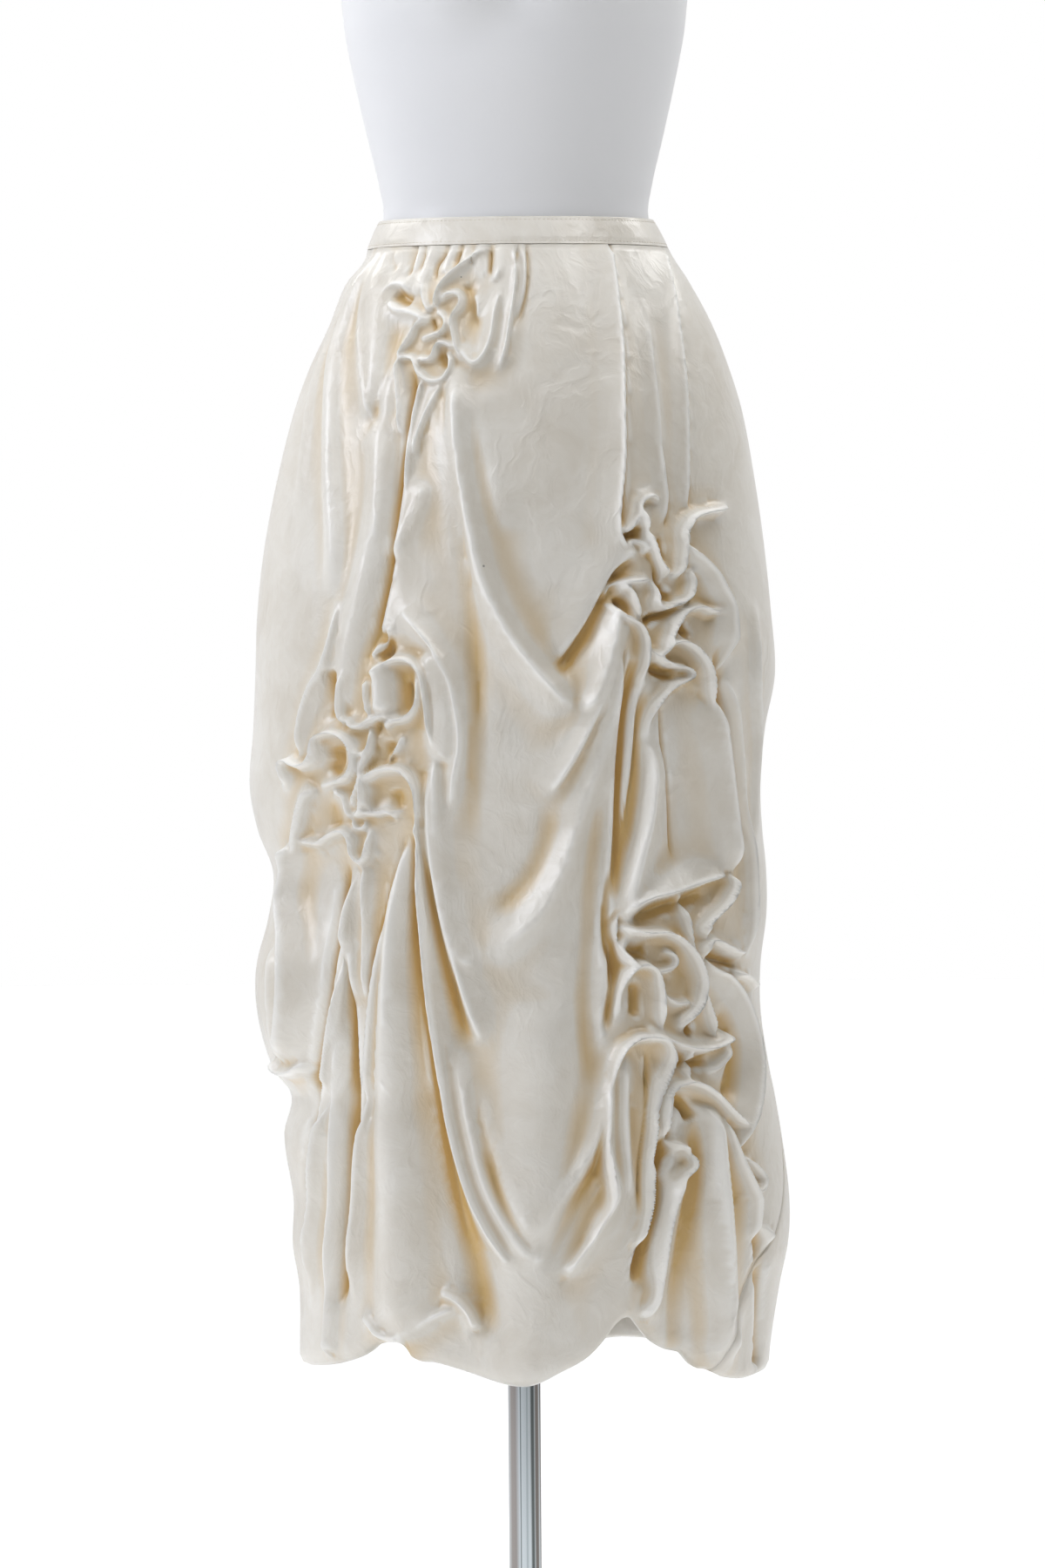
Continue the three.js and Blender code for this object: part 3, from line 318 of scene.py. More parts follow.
        Fold("crest", 12, 8, 7, [(119, 283), (126, 278), (128, 262), (129, 248), (135, 237), (146, 232),
            (158, 230), (170, 227)]),
        Fold("crease", 8, 3, 3, [(115, 250), (116, 262), (118, 270)]),
        Fold("crest", 8, 4, 5, [(86, 257), (93, 254), (99, 257), (101, 265)]),
        Fold("crease", 10, 4, 4, [(102, 262), (108, 272), (112, 284), (110, 297)]),
        Fold("crest", 10, 8, 5, [(70, 300), (73, 290), (82, 286), (94, 285), (106, 283)]),
        Fold("crest", 9, 6, 5, [(78, 290), (88, 292), (93, 303), (96, 316)]),
        Fold("hollow", 8, 7, 6, [(77, 300), (84, 303), (88, 312)]),
        Fold("crest", 13, 7, 8, [(70, 300), (75, 308), (84, 314), (93, 320), (98, 332), (98, 350),
            (96, 368)]),
        Fold("crest", 12, 6, 6, [(105, 283), (108, 294), (107, 303), (114, 306), (125, 303), (133, 297),
            (135, 287), (134, 279), (142, 277)]),
        Fold("hollow", 9, 5, 5, [(101, 318), (108, 314), (118, 311), (128, 305)]),
        Fold("hollow", 9, 6, 6, [(113, 288), (118, 296), (124, 300)]),
        Fold("crest", 14, 16, 7, [(129, 250), (134, 261), (143, 270), (151, 279), (157, 291), (163, 304),
            (165, 322), (165, 342), (164, 362)]),
        Fold("hollow", 7, 5, 6, [(133, 243), (134, 254), (139, 262)]),
        Fold("crest", 12, 7, 7, [(163, 308), (152, 309), (143, 306), (134, 307), (127, 312), (121, 322),
            (115, 334), (111, 341)]),
        Fold("hollow", 8, 8, 6, [(126, 318), (132, 320), (138, 330)]),
        Fold("crest", 13, 7, 8, [(104, 337), (111, 342), (118, 335), (127, 333), (138, 340), (146, 353),
            (149, 372), (152, 400)]),
        Fold("crest", 12, 6, 5, [(100, 330), (106, 343), (119, 350), (132, 354), (134, 361), (122, 367),
            (111, 377), (104, 392), (101, 415)]),
        Fold("hollow", 8, 7, 7, [(106, 352), (115, 357), (126, 358)]),
    ],
    "middle right": [
        Fold("hollow", 10, 8, 8, [(98, 365), (96, 400), (93, 440), (88, 480), (82, 515), (77, 550)]),
        Fold("crest", 3, 8, 10, [(97, 350), (96, 385), (95, 420), (95, 455)]),
        Fold("crease", 5, 4, 5, [(81, 330), (81, 375), (80, 420), (79, 460)]),
        Fold("crest", 13, 8, 22, [(101, 412), (98, 445), (94, 475), (87, 502), (80, 530), (75, 552)]),
        Fold("crease", 4, 2, 2, [(112, 380), (114, 420), (118, 465), (121, 510)]),
        Fold("crest", 13, 24, 5, [(149, 372), (153, 410), (157, 450), (161, 485), (165, 515)]),
        Fold("hollow", 10, 9, 13, [(156, 330), (159, 370), (165, 415), (169, 455), (171, 490)]),
        Fold("crest", 9, 5, 7, [(163, 360), (168, 395), (172, 440), (176, 490), (178, 540), (178, 580)]),
        Fold("roll", 5, 9, 9, [(186, 300), (186, 360), (187, 420), (186, 500)]),
    ],
    "lower right cluster": [
        Fold("hollow", 9, 10, 4, [(77, 505), (72, 540), (73, 570), (80, 590), (76, 612), (70, 640)]),
        Fold("crest", 12, 4, 26, [(78, 550), (87, 541), (100, 534), (118, 529), (136, 523), (152, 518),
            (165, 515)]),
        Fold("hollow", 6, 12, 4, [(88, 549), (102, 543), (118, 538), (134, 533), (148, 527)]),
        Fold("crest", 13, 8, 8, [(166, 512), (166, 524), (160, 537), (150, 547), (143, 556), (146, 566)]),
        Fold("crest", 15, 8, 8, [(80, 549), (84, 557), (97, 560), (112, 560), (124, 567), (133, 580),
            (138, 597), (137, 614), (130, 627), (125, 637)]),
        Fold("crest", 13, 4, 12, [(83, 535), (77, 556), (80, 572), (86, 583), (93, 590)]),
        Fold("hollow", 6, 9, 8, [(84, 570), (92, 575), (102, 574)]),
        Fold("crest", 8, 6, 6, [(113, 572), (121, 578), (121, 586), (112, 590), (106, 588)]),
        Fold("crest", 15, 7, 7, [(78, 625), (80, 604), (86, 590), (95, 585), (103, 589), (107, 603),
            (109, 622), (112, 638)]),
        Fold("hollow", 6, 8, 8, [(92, 598), (93, 612), (92, 626)]),
        Fold("crest", 8, 8, 8, [(108, 604), (116, 612), (126, 615), (134, 612)]),
        Fold("crest", 11, 6, 6, [(128, 528), (130, 555), (134, 580), (141, 604), (148, 626), (155, 642)]),
        Fold("hollow", 9, 6, 6, [(137, 622), (135, 632), (137, 640)]),
        Fold("crest", 12, 6, 10, [(145, 582), (144, 572), (149, 566), (158, 570), (168, 575),
            (179, 577)]),
        Fold("hollow", 8, 5, 4, [(150, 576), (160, 581), (174, 585)]),
        Fold("crest", 12, 20, 6, [(145, 578), (151, 588), (161, 594), (170, 606), (177, 622), (183, 645),
            (185, 668), (183, 692), (177, 716), (169, 735)]),
        Fold("roll", 8, 6, 6, [(170, 592), (180, 595), (188, 604)]),
        Fold("crest", 13, 3.5, 12, [(97, 637), (108, 641), (120, 647), (135, 651), (150, 650), (162, 644),
            (164, 634)]),
        Fold("hollow", 8, 9, 4, [(120, 656), (136, 660), (150, 658)]),
        Fold("crest", 15, 9, 7, [(66, 700), (70, 672), (77, 652), (88, 643), (100, 641), (110, 645),
            (115, 656), (113, 670), (106, 686), (102, 706), (100, 735), (98, 765)]),
        Fold("roll", 8, 10, 10, [(82, 655), (80, 690), (81, 730), (83, 770)]),
        Fold("crease", 12, 3, 3, [(102, 652), (101, 680), (97, 710), (94, 745), (94, 780)]),
        Fold("crest", 14, 7, 16, [(68, 668), (65, 700), (65, 725), (68, 748), (68, 768), (60, 788)]),
        Fold("crest", 15, 8, 8, [(135, 735), (128, 728), (117, 723), (112, 712), (111, 698), (115, 684),
            (126, 677), (138, 679), (149, 688), (160, 700), (172, 708), (183, 712)]),
        Fold("crest", 12, 6, 7, [(133, 730), (134, 741), (125, 750), (117, 760), (113, 776)]),
        Fold("hollow", 10, 8, 8, [(122, 690), (131, 694), (137, 706)]),
        Fold("hollow", 7, 14, 14, [(160, 622), (172, 645), (172, 675), (165, 690)]),
        Fold("crest", 6, 8, 8, [(148, 670), (160, 662), (170, 648), (172, 635)]),
        Fold("crest", 9, 6, 7, [(134, 652), (131, 664), (127, 677)]),
        Fold("hollow", 14, 5, 5, [(120, 655), (115, 672), (107, 692), (104, 712)]),
    ],
    "lower right": [
        Fold("hollow", 9, 10, 14, [(183, 765), (187, 800), (188, 840), (186, 890)], "e"),
        Fold("hollow", 13, 8, 9, [(118, 676), (114, 705), (111, 735), (105, 752), (104, 772), (99, 792),
            (93, 815), (88, 835)]),
        Fold("crest", 13, 4, 14, [(126, 748), (115, 762), (108, 788), (103, 815), (98, 845), (92, 862)]),
        Fold("crest", 10, 5, 6, [(100, 735), (98, 765), (94, 785), (86, 806)]),
        Fold("roll", 14, 14, 18, [(142, 690), (146, 740), (150, 800), (152, 880)], "e", grow=1.5),
        Fold("hollow", 4, 9, 9, [(138, 696), (136, 740), (129, 785), (122, 830),
            (120, 880)], "e", grow=1.3),
        Fold("crest", 10, 12, 6, [(150, 698), (158, 718), (166, 738), (175, 757), (182, 778),
            (181, 800)]),
        Fold("crest", 8, 5, 5, [(168, 734), (178, 742), (185, 751), (182, 762), (177, 757)]),
        Fold("crest", 6, 14, 5, [(183, 780), (190, 790), (199, 806)]),
    ],
    "lower middle": [
        Fold("crest", 7, 18, 12, [(-51, 641), (-42, 700), (-31, 750), (-16, 784), (-1, 806), (16, 819)]),
        Fold("hollow", 2, 9, 8, [(-33, 725), (-19, 762), (-4, 793), (11, 811)]),
        Fold("crest", 4, 9, 12, [(-32, 670), (-25, 712), (-13, 750), (-1, 778), (13, 796)]),
        Fold("crest", 8, 14, 11, [(72, 660), (63, 694), (53, 725), (40, 750), (27, 768), (16, 787),
            (10, 800)]),
        Fold("hollow", 3, 8, 7, [(66, 712), (60, 738), (46, 762), (33, 784), (22, 806), (18, 822)]),
        Fold("crest", 10, 6, 16, [(74, 738), (69, 766), (60, 784), (49, 803), (36, 820), (27, 824)]),
        Fold("crest", 3, 10, 10, [(44, 640), (34, 690), (22, 730), (12, 752)]),
        Fold("roll", 9, 44, 44, [(14, 610), (10, 700), (8, 800), (5, 905)], "e"),
    ],
}

# The back repeats each group, moved by (across, drop) so that it isn't the front's twin.
BACK_SHIFT = {
    "waist gathers": (6, 0), "upper left cluster": (52, 34), "long folds": (14, 30),
    "left cluster": (12, 0), "lower left": (8, 0), "middle": (14, 30),
    "right cluster": (-14, -24), "middle right": (-10, 0), "lower right cluster": (-22, -16),
    "lower right": (-12, 0), "lower middle": (-12, 0),
}

# Sections of the dress form: half-width, half-depths to the front and back.
FormSection = namedtuple("FormSection", "drop side front back")
FORM_SECTIONS = [
    FormSection(282, 122, 78, 86), FormSection(279, 134, 86, 96), FormSection(268, 143, 92, 104),
    FormSection(240, 150, 97, 110), FormSection(200, 151, 97, 112), FormSection(150, 144, 94, 107),
    FormSection(100, 133, 89, 97), FormSection(60, 121.5, 84, 87), FormSection(22, 111, 80, 80),
    FormSection(0, 103.4, 76, 76), FormSection(-24, 106.5, 79, 78), FormSection(-60, 115, 85, 82),
    FormSection(-100, 124, 92, 87), FormSection(-140, 132, 95, 92),
    FormSection(-162, 134.5, 97, 94), FormSection(-182, 136.5, 97, 96),
    FormSection(-202, 139, 96, 98), FormSection(-224, 143, 94, 99), FormSection(-250, 150, 90, 99),
    FormSection(-284, 160, 82, 97), FormSection(-316, 165, 73, 91), FormSection(-338, 160, 66, 84),
    FormSection(-356, 143, 60, 76), FormSection(-372, 115, 55, 68), FormSection(-386, 86, 52, 60),
    FormSection(-400, 67, 50, 54), FormSection(-416, 58, 50, 51), FormSection(-440, 56, 50, 50),
    FormSection(-448, 53, 47, 47), FormSection(-450, 47, 41, 41),
]
BUST_ACROSS, BUST_DROP, BUST_RISE, BUST_REACH = 58, -196, 22, 78


# ---------------------------------------------------------------- numbers and tables
def column(rows, by, name, at):
    """A smooth curve through one column of a table, as the CAD source draws it."""
    key = np.array([getattr(row, by) for row in rows], float)
    value = np.array([getattr(row, name) for row in rows], float)
    before = np.r_[0, np.arange(len(rows) - 1)]
    after = np.r_[np.arange(1, len(rows)), len(rows) - 1]
    slope = (value[after] - value[before]) / (key[after] - key[before])
    at = np.clip(np.asarray(at, float), key[0], key[-1])
    i = np.clip(np.searchsorted(key, at, side="right") - 1, 0, len(rows) - 2)
    step = key[i + 1] - key[i]
    t = (at - key[i]) / step
    rise = value[i + 1] - value[i]
    bend = slope[i] * t * (1 - t) ** 2 - slope[i + 1] * t * t * (1 - t)
    return value[i] + rise * t * t * (3 - 2 * t) + step * bend


def smooth(t):
    t = np.clip(t, 0, 1)
    return t * t * (3 - 2 * t)


# ---------------------------------------------------------------- the skirt's plain surface
def plain_point(angle, drop):
    """Point of the skirt without folds, in mm. angle is in degrees round from the front."""
    across, ahead = np.sin(np.radians(angle)), np.cos(np.radians(angle))
    left, right, front, back = (column(SKIRT_SECTIONS, "drop", name, drop)
                                for name in ("left", "right", "front", "back"))
    width = np.where(across > 0, right, left)
    depth = np.where(ahead > 0, front, back)
    return np.stack([width * across, -depth * ahead, BAND_TOP - drop + 0 * angle], -1)


def point_at_station(across, drop, behind, lift):
    """Point of the plain skirt under a station, for a fold that stands out from it by lift."""
    nearness = 1.0
    for _ in range(4):
        true_drop = EYE_DROP + (drop - EYE_DROP) * nearness
        side = "right" if across > 0 else "left"
        width = float(column(SKIRT_SECTIONS, "drop", side, true_drop)) + lift
        angle = math.degrees(math.asin(max(-1, min(1, across * nearness / width))))
        point = plain_point(np.float64(angle), np.float64(true_drop))
        nearness = (EYE_DISTANCE + point[1]) / EYE_DISTANCE
    if behind:
        back, front = (float(column(SKIRT_SECTIONS, "drop", name, true_drop))
                       for name in ("back", "front"))
        point[1] *= -back / front
    return point


# ---------------------------------------------------------------- folds
END_TAPER = 0.2                # part of a fold's length over which a closed end dies away
# A crest is a slope hollowed by this power, with a thin rolled ridge along its top.
CREST_POWER = 2.0
CREST_ROUNDING = 0.12          # part of a slope's width that is rounded at the top
RIDGE_SHARE = 0.3              # part of the rise that is ridge
RIDGE_RISE = 3.2               # a ridge is no higher than this
CLUSTER_RIDGE, HANGING_RIDGE = 4.2, 8.5    # from the line of a ridge to its foot
# How much higher the shown relief is than the table's, and how much wider its flanks are:
# tight in the pinched clusters, broad in the hanging folds.
CLUSTER_RISE = {"waist gathers": 0.85, "upper left cluster": 0.9, "left cluster": 1.15,
                "right cluster": 1.25, "lower right cluster": 1.25}
CLUSTER_FLANK = 1.15
HANGING_RISE, HANGING_FLANK = 1.4, 1.45
GENTLE_SLOPE = 2.1             # steepest mean slope of the wider flank of a fold
STEEP_SLOPE = 3.0              # and of its narrower flank
CREASE_SLOPE = 2.2             # steepest mean slope of a crease
CLUSTER_LIFT, HANGING_LIFT = 8, 3          # how far out the viewer sees the folds stand
CURVE_STEPS = 5                # points laid along each stretch of a fold's path
BLEND = 5                      # crossing folds take about the highest, they don't pile up
CLUSTER_FINEST, HANGING_FINEST = 3.4, 4.4  # no flank is narrower, or the mesh can't show it


def smooth_path(points):
    """A Catmull-Rom curve through the stations."""
    ends = np.vstack([2 * points[0] - points[1], points, 2 * points[-1] - points[-2]])
    curve = []
    for a, b, c, d in zip(ends, ends[1:], ends[2:], ends[3:]):
        for t in np.arange(CURVE_STEPS) / CURVE_STEPS:
            curve.append(0.5 * (2 * b + (c - a) * t + (2 * a - 5 * b + 4 * c - d) * t ** 2
                                + (3 * b - a - 3 * c + d) * t ** 3))
    return np.array(curve + [points[-1]])


def round_top(t):
    return 0.5 + 0.5 * np.cos(np.pi * np.clip(t, 0, 1))


def laid_folds(behind):
    """The folds of the front or back with the sizes that are shown, each on its curve."""
    laid = []
    for group, folds in FRONT_FOLDS.items():
        across_by, drop_by = BACK_SHIFT[group] if behind else (0, 0)
        in_cluster = group in CLUSTER_RISE
        ridge_reach = CLUSTER_RIDGE if in_cluster else HANGING_RIDGE
        finest = CLUSTER_FINEST if in_cluster else HANGING_FINEST
        lift = CLUSTER_LIFT if in_cluster else HANGING_LIFT
        for fold in folds:
            reaches = (fold.right, fold.left) if behind else (fold.left, fold.right)
            rise = fold.rise * CLUSTER_RISE.get(group, HANGING_RISE)
            if fold.form == "crest":
                spread = CLUSTER_FLANK if in_cluster else HANGING_FLANK
                reaches = tuple(spread * reach for reach in reaches)
            gentle = CREASE_SLOPE if fold.form == "crease" else GENTLE_SLOPE
            rise = min(rise, gentle * max(*reaches, finest))
            reaches = tuple(max(reach, rise / STEEP_SLOPE, finest) for reach in reaches)
            stations = [point_at_station(across + across_by, drop + drop_by, behind, lift)
                        for across, drop in fold.path]
            laid.append((fold, rise, reaches, ridge_reach, smooth_path(np.array(stations))))
    return laid


def fold_height(fold, rise, reaches, ridge_reach, curve, points, outward):
    """Height of one fold and of the ridge along it over each point, all positive."""
    nearest = np.full(len(points), np.inf)
    along = np.zeros(len(points))
    on_right = np.zeros(len(points), bool)
    for i, (start, end) in enumerate(zip(curve, curve[1:])):
        run = end - start
        offset = points - start
        t = np.clip(offset @ run / (run @ run), 0, 1)
        offset = offset - t[:, None] * run
        distance = np.linalg.norm(offset, axis=1)
        closer = distance < nearest
        nearest = np.where(closer, distance, nearest)
        along = np.where(closer, (i + t) / (len(curve) - 1), along)
        turn = np.einsum("ij,ij->i", np.cross(run, offset), outward) > 0
        on_right = np.where(closer, turn, on_right)
    widening = 1 + (fold.grow - 1) * along
    left, right = reaches
    t = np.clip(nearest / (np.where(on_right, right, left) * widening), 0, 1)
    if fold.form in ("crest", "crease"):
        rounded = np.hypot(t, CREST_ROUNDING) - CREST_ROUNDING
        rounded /= math.hypot(1, CREST_ROUNDING) - CREST_ROUNDING
        profile = (1 - rounded) ** CREST_POWER
    else:
        profile = round_top(t)
    fade = np.ones(len(points))
    if "s" not in fold.open:
        fade *= np.clip(along / END_TAPER, 0, 1)
    if "e" not in fold.open:
        fade *= np.clip((1 - along) / END_TAPER, 0, 1)
    fade *= 2 - fade
    ridge = min(RIDGE_SHARE * rise, RIDGE_RISE) if fold.form == "crest" else 0
    return (rise - ridge) * profile * fade, ridge * fade * round_top(nearest / ridge_reach)


def folded_rise(points, outward, behind):
    """How far the folds stand out from each point and sink in under it."""
    raised, ridged, sunk = np.zeros((3, len(points)))
    for fold, rise, reaches, ridge_reach, curve in laid_folds(behind):
        margin = max(reaches) * max(fold.grow, 1)
        low, high = curve.min(0) - margin, curve.max(0) + margin
        near = np.flatnonzero(((points > low) & (points < high)).all(1))
        if not len(near):
            continue
        slope, ridge = fold_height(fold, rise, reaches, ridge_reach, curve, points[near],
                                   outward[near])
        if fold.form in ("crest", "roll"):
            raised[near] += slope ** BLEND
            ridged[near] += ridge ** BLEND
        else:
            sunk[near] += slope ** BLEND
    return raised ** (1 / BLEND) + ridged ** (1 / BLEND), sunk ** (1 / BLEND)


FOLD_FADE_IN = 11              # drop below the band over which folds reach their full rise
RISE_AT_BAND = 0.05            # share of the rise that they have where they leave the band


def rise_over(angle, drop):
    """Height of all folds over the plain surface at each angle and drop, in mm."""
    points = plain_point(angle, drop)
    outward = points * (1, 1, 0)
    outward /= np.linalg.norm(outward, axis=-1, keepdims=True)
    ahead = np.cos(np.radians(angle)) >= 0
    raised, sunk = np.zeros(angle.shape), np.zeros(angle.shape)
    for behind in (False, True):
        here = ahead != behind
        raised[here], sunk[here] = folded_rise(points[here], outward[here], behind)
    from_side = np.abs(np.abs((angle + 180) % 360 - 180) - 90)
    calm = 1 - SIDE_CALM * np.exp(-(from_side / SIDE_CALM_WIDTH) ** 2)
    below_band = np.clip((drop - BAND_HEIGHT) / FOLD_FADE_IN, RISE_AT_BAND, 1)
    return points, outward, raised * calm * below_band, sunk * calm * below_band


# ---------------------------------------------------------------- panels
def band_dip(ahead):
    return BAND_DIP + BAND_TILT * ahead


def hem_drop(angle):
    across = np.sin(np.radians(angle))
    ahead = np.cos(np.radians(angle)) >= 0
    width = np.where(across > 0, FRONT_HEM[-1].across, -FRONT_HEM[0].across)
    front = column(FRONT_HEM, "across", "drop", across * width)
    back = column(BACK_HEM, "across", "drop", across * width)
    return np.where(ahead, front, back)


def right_seam(drop):
    swing = smooth((drop - SEAM_SWING_FROM) / (SEAM_SWING_TO - SEAM_SWING_FROM))
    return RIGHT_SEAM + (RIGHT_SEAM_AT_HEM - RIGHT_SEAM) * swing


def wall_stations(row, top, hem):
    """How far in from the outer surface, and the drop, down the wall, round the hem, up the flap."""
    foot = hem - HEM_ROLL
    down = np.clip(row / WALL_ROWS, 0, 1)
    turn = np.pi * np.clip((row - WALL_ROWS) / ROLL_ROWS, 0, 1)
    up = np.clip((row - WALL_ROWS - ROLL_ROWS) / FLAP_ROWS, 0, 1)
    inward = HEM_ROLL * (1 - np.cos(turn))
    drop = top + (foot - top) * down + HEM_ROLL * np.sin(turn) - HEM_FLAP * up
    return inward, drop


SEAM_DIP = 1.2                 # the cloth dips into a seam by this much
SEAM_DIP_REACH = 5
SEAM_EVENNESS = 60             # how often each row's rise at a seam is shared with its neighbours
SEAM_LEAD = 12                 # columns over which the folds are led to the seam's even line
LEAST_ROOM, ROOM_GROWTH = 0.5, 0.1    # room between wall and form, at the band and per mm below
PINCH = 0.9                    # how far a steep flank is drawn towards its crest or crease
END_EASE_ROWS = 6              # rows from the band and the hem over which the pinching sets in
SEAM_EASE = 12                 # mm from a seam over which it and the inner face's clearance do
# How often the relief is softened: where the mesh is coarse, where it's fine, and for the map
# of what is fine and its edges.
COARSE_PASSES, FINE_PASSES, BUSY_PASSES, FINE_EDGE_PASSES = 14, 1, 8, 4
# the broad and narrow forms paint shade into the satin's colour in hollows and creases, and a painted
# highlight along crests
PAINTED_SHADE_PASSES, SHADE_AND_HIGHLIGHT_PASSES = 240, 11  # and for the broad and narrow forms that tint the cloth


def panel_points(u, v, seam_from, seam_to):
    """Points of a panel's outer and inner face for a lattice of u, v from 0 to 1, in mm, how far
    each stands out, and the coarse cells that are to be fine."""
    row = v * (WALL_ROWS + ROLL_ROWS + FLAP_ROWS)
    level = BAND_HEIGHT + np.clip(row / WALL_ROWS, 0, 1) * (SEAM_SWING_TO - BAND_HEIGHT)
    margin = math.degrees(GAP / 2 / SEAM_RADIUS)
    start, end = seam_from(level) + margin, seam_to(level) - margin
    angle = start + (end - start) * u
    top = BAND_HEIGHT + GAP + band_dip(np.cos(np.radians(angle)))
    inward, drop = wall_stations(row, top, hem_drop(angle))
    points, outward, raised, sunk = rise_over(angle, drop)
    onto_flap = 1 - smooth((row - WALL_ROWS) / ROLL_ROWS)
    raised, sunk = (meet_at_seams(field * onto_flap) for field in (raised, sunk))
    to_seam = np.radians(np.minimum(angle - start, end - angle)) * SEAM_RADIUS
    dip = SEAM_DIP * np.exp(-(to_seam / SEAM_DIP_REACH) ** 2)
    from_ends = smooth((WALL_ROWS - row) / END_EASE_ROWS) * smooth(row / END_EASE_ROWS)
    from_seam = smooth(to_seam / SEAM_EASE)
    busy = busiest_cells(raised - sunk)
    # where the mesh is coarse it takes a softer relief, which it can show without steps
    fine = smooth(2 * softened(per_step(busy), FINE_EDGE_PASSES) - 1)
    raised, sunk = (softened(field, COARSE_PASSES) * (1 - fine) + softened(field, FINE_PASSES) * fine
                    for field in (raised, sunk))
    pinched = (from_ends * from_seam * fine)[..., None]
    rise = raised - sunk - dip
    plain = points - outward * inward[..., None]
    facing = np.cross(np.gradient(plain, axis=1), np.gradient(plain, axis=0))
    facing /= np.linalg.norm(facing, axis=-1, keepdims=True)
    shown = plain + outward * rise[..., None]
    shown += (push_uphill(points, raised) - push_uphill(points, -sunk)) * pinched
    room = LEAST_ROOM + ROOM_GROWTH * np.clip(drop - BAND_HEIGHT, 0, None)
    clearance = np.minimum(clearance_under(rise), room) * from_seam
    inner = shown + facing * (CLOTH + clearance)[..., None]
    return shown, inner, rise, busy


def meet_at_seams(field):
    """The field led over to one even line at each seam, the same for both panels."""
    edges = field[:, [0, -1]]
    for _ in range(SEAM_EVENNESS):
        edges = (np.roll(edges, 1, 0) + 2 * edges + np.roll(edges, -1, 0)) / 4
    from_start = np.arange(field.shape[1]) / SEAM_LEAD
    first, last = smooth(from_start), smooth(from_start[::-1])
    return field * first * last + edges[:, :1] * (1 - first) + edges[:, 1:] * (1 - last)


def per_step(cells):
    """A value for each coarse cell, given to all its lattice steps."""
    return np.pad(np.kron(cells, np.ones((CELL, CELL))), ((0, 1), (0, 1)), mode="edge")


def busiest_cells(rise):
    """A map of the coarse cells of a panel, true where the cloth bends most."""
    rows, columns = (count // CELL for count in rise.shape)
    bend = np.abs(np.gradient(np.gradient(rise, axis=0), axis=0))
    bend += np.abs(np.gradient(np.gradient(rise, axis=1), axis=1))
    cells = softened(bend, BUSY_PASSES)[:-1, :-1].reshape(rows, CELL, columns, CELL).mean((1, 3))
    cells[[0, -1]] = cells[:, [0, -1]] = 0
    return cells > np.sort(cells, axis=None)[-FINE_CELLS]


def around(field, pick, reach=1):
    """The least or greatest of each value and its neighbours."""
    rows, columns = field.shape
    padded = np.pad(field, reach, mode="edge")
    return pick.reduce([padded[i:i + rows, j:j + columns]
                        for i in range(2 * reach + 1) for j in range(2 * reach + 1)])


def clearance_under(rise):
    """How much further in the coarse inner face lies, to pass under the fine creases."""
    across, down = (np.arange(size) / CELL for size in rise.shape[::-1])
    coarse = rise[::CELL, ::CELL]
    flat = np.array([np.interp(across, np.arange(coarse.shape[1]), line) for line in coarse])
    flat = np.array([np.interp(down, np.arange(coarse.shape[0]), line) for line in flat.T]).T
    twist = np.abs(coarse[1:, 1:] + coarse[:-1, :-1] - coarse[1:, :-1] - coarse[:-1, 1:]) / 4
    flat += per_step(twist)
    return around(np.maximum(flat - around(rise, np.minimum, 2), 0), np.maximum, CELL)


def softened(field, passes):
    """The field with each value shared with its neighbours."""
    for _ in range(passes):
        padded = np.pad(field, 1, mode="edge")
        field = (4 * field + padded[:-2, 1:-1] + padded[2:, 1:-1] + padded[1:-1, :-2]
                 + padded[1:-1, 2:]) / 8
    return field


def push_uphill(points, height):
    """Shift along the cloth towards the crest of each fold, which pinches crests and creases."""
    rise_v, rise_u = np.gradient(softened(height, 2))
    along_v, along_u = np.gradient(points, axis=0), np.gradient(points, axis=1)
    length_u = (along_u ** 2).sum(-1, keepdims=True) + 1e-6
    length_v = (along_v ** 2).sum(-1, keepdims=True) + 1e-6
    uphill = along_u / length_u * rise_u[..., None] + along_v / length_v * rise_v[..., None]
    steepness = np.linalg.norm(uphill, axis=-1, keepdims=True) + 1e-6
    return PINCH * uphill / steepness * np.tanh(steepness)


# ---------------------------------------------------------------- mesh making
TOUCHING = 1e-6                # metres
INNER_DEPTH = 0.001            # how far under the outer one the flat inner grid starts


def flat_grid(columns, rows):
    mesh = bmesh.new()
    bmesh.ops.create_grid(mesh, x_segments=columns, y_segments=rows, size=0.5)
    return mesh


def lattice_places(mesh, columns, rows):
    """The lattice column and row of each point of a flat grid."""
    flat = np.array([vert.co[:2] for vert in mesh.verts]) + 0.5
    return np.rint(flat * (columns, rows)).astype(int)


def move_to(mesh, spots, points):
    """Put each point of a flat grid at its place and keep its u, v as its UV."""
    texture = mesh.loops.layers.uv.new("cloth")
    for vert, point in zip(mesh.verts, points.tolist()):
        vert.co = point
    mesh.verts.index_update()
    spots = spots.tolist()
    for face in mesh.faces:
        face.smooth = True
        for loop in face.loops:
            loop[texture].uv = spots[loop.vert.index]


def unit_lattice(columns, rows):
    v, u = np.mgrid[0:rows + 1, 0:columns + 1]
    return u / columns, v / rows


def grid_piece(name, columns, rows, place, weld=False):
    """A create_grid sheet whose points are put in place by place(u, v), given in mm."""
    mesh = flat_grid(columns, rows)
    places = lattice_places(mesh, columns, rows)
    points = place(*unit_lattice(columns, rows))[places[:, 1], places[:, 0]] * MM
    move_to(mesh, places / (columns, rows), points)
    if weld:
        bmesh.ops.remove_doubles(mesh, verts=mesh.verts, dist=TOUCHING)
    return as_object(name, mesh)


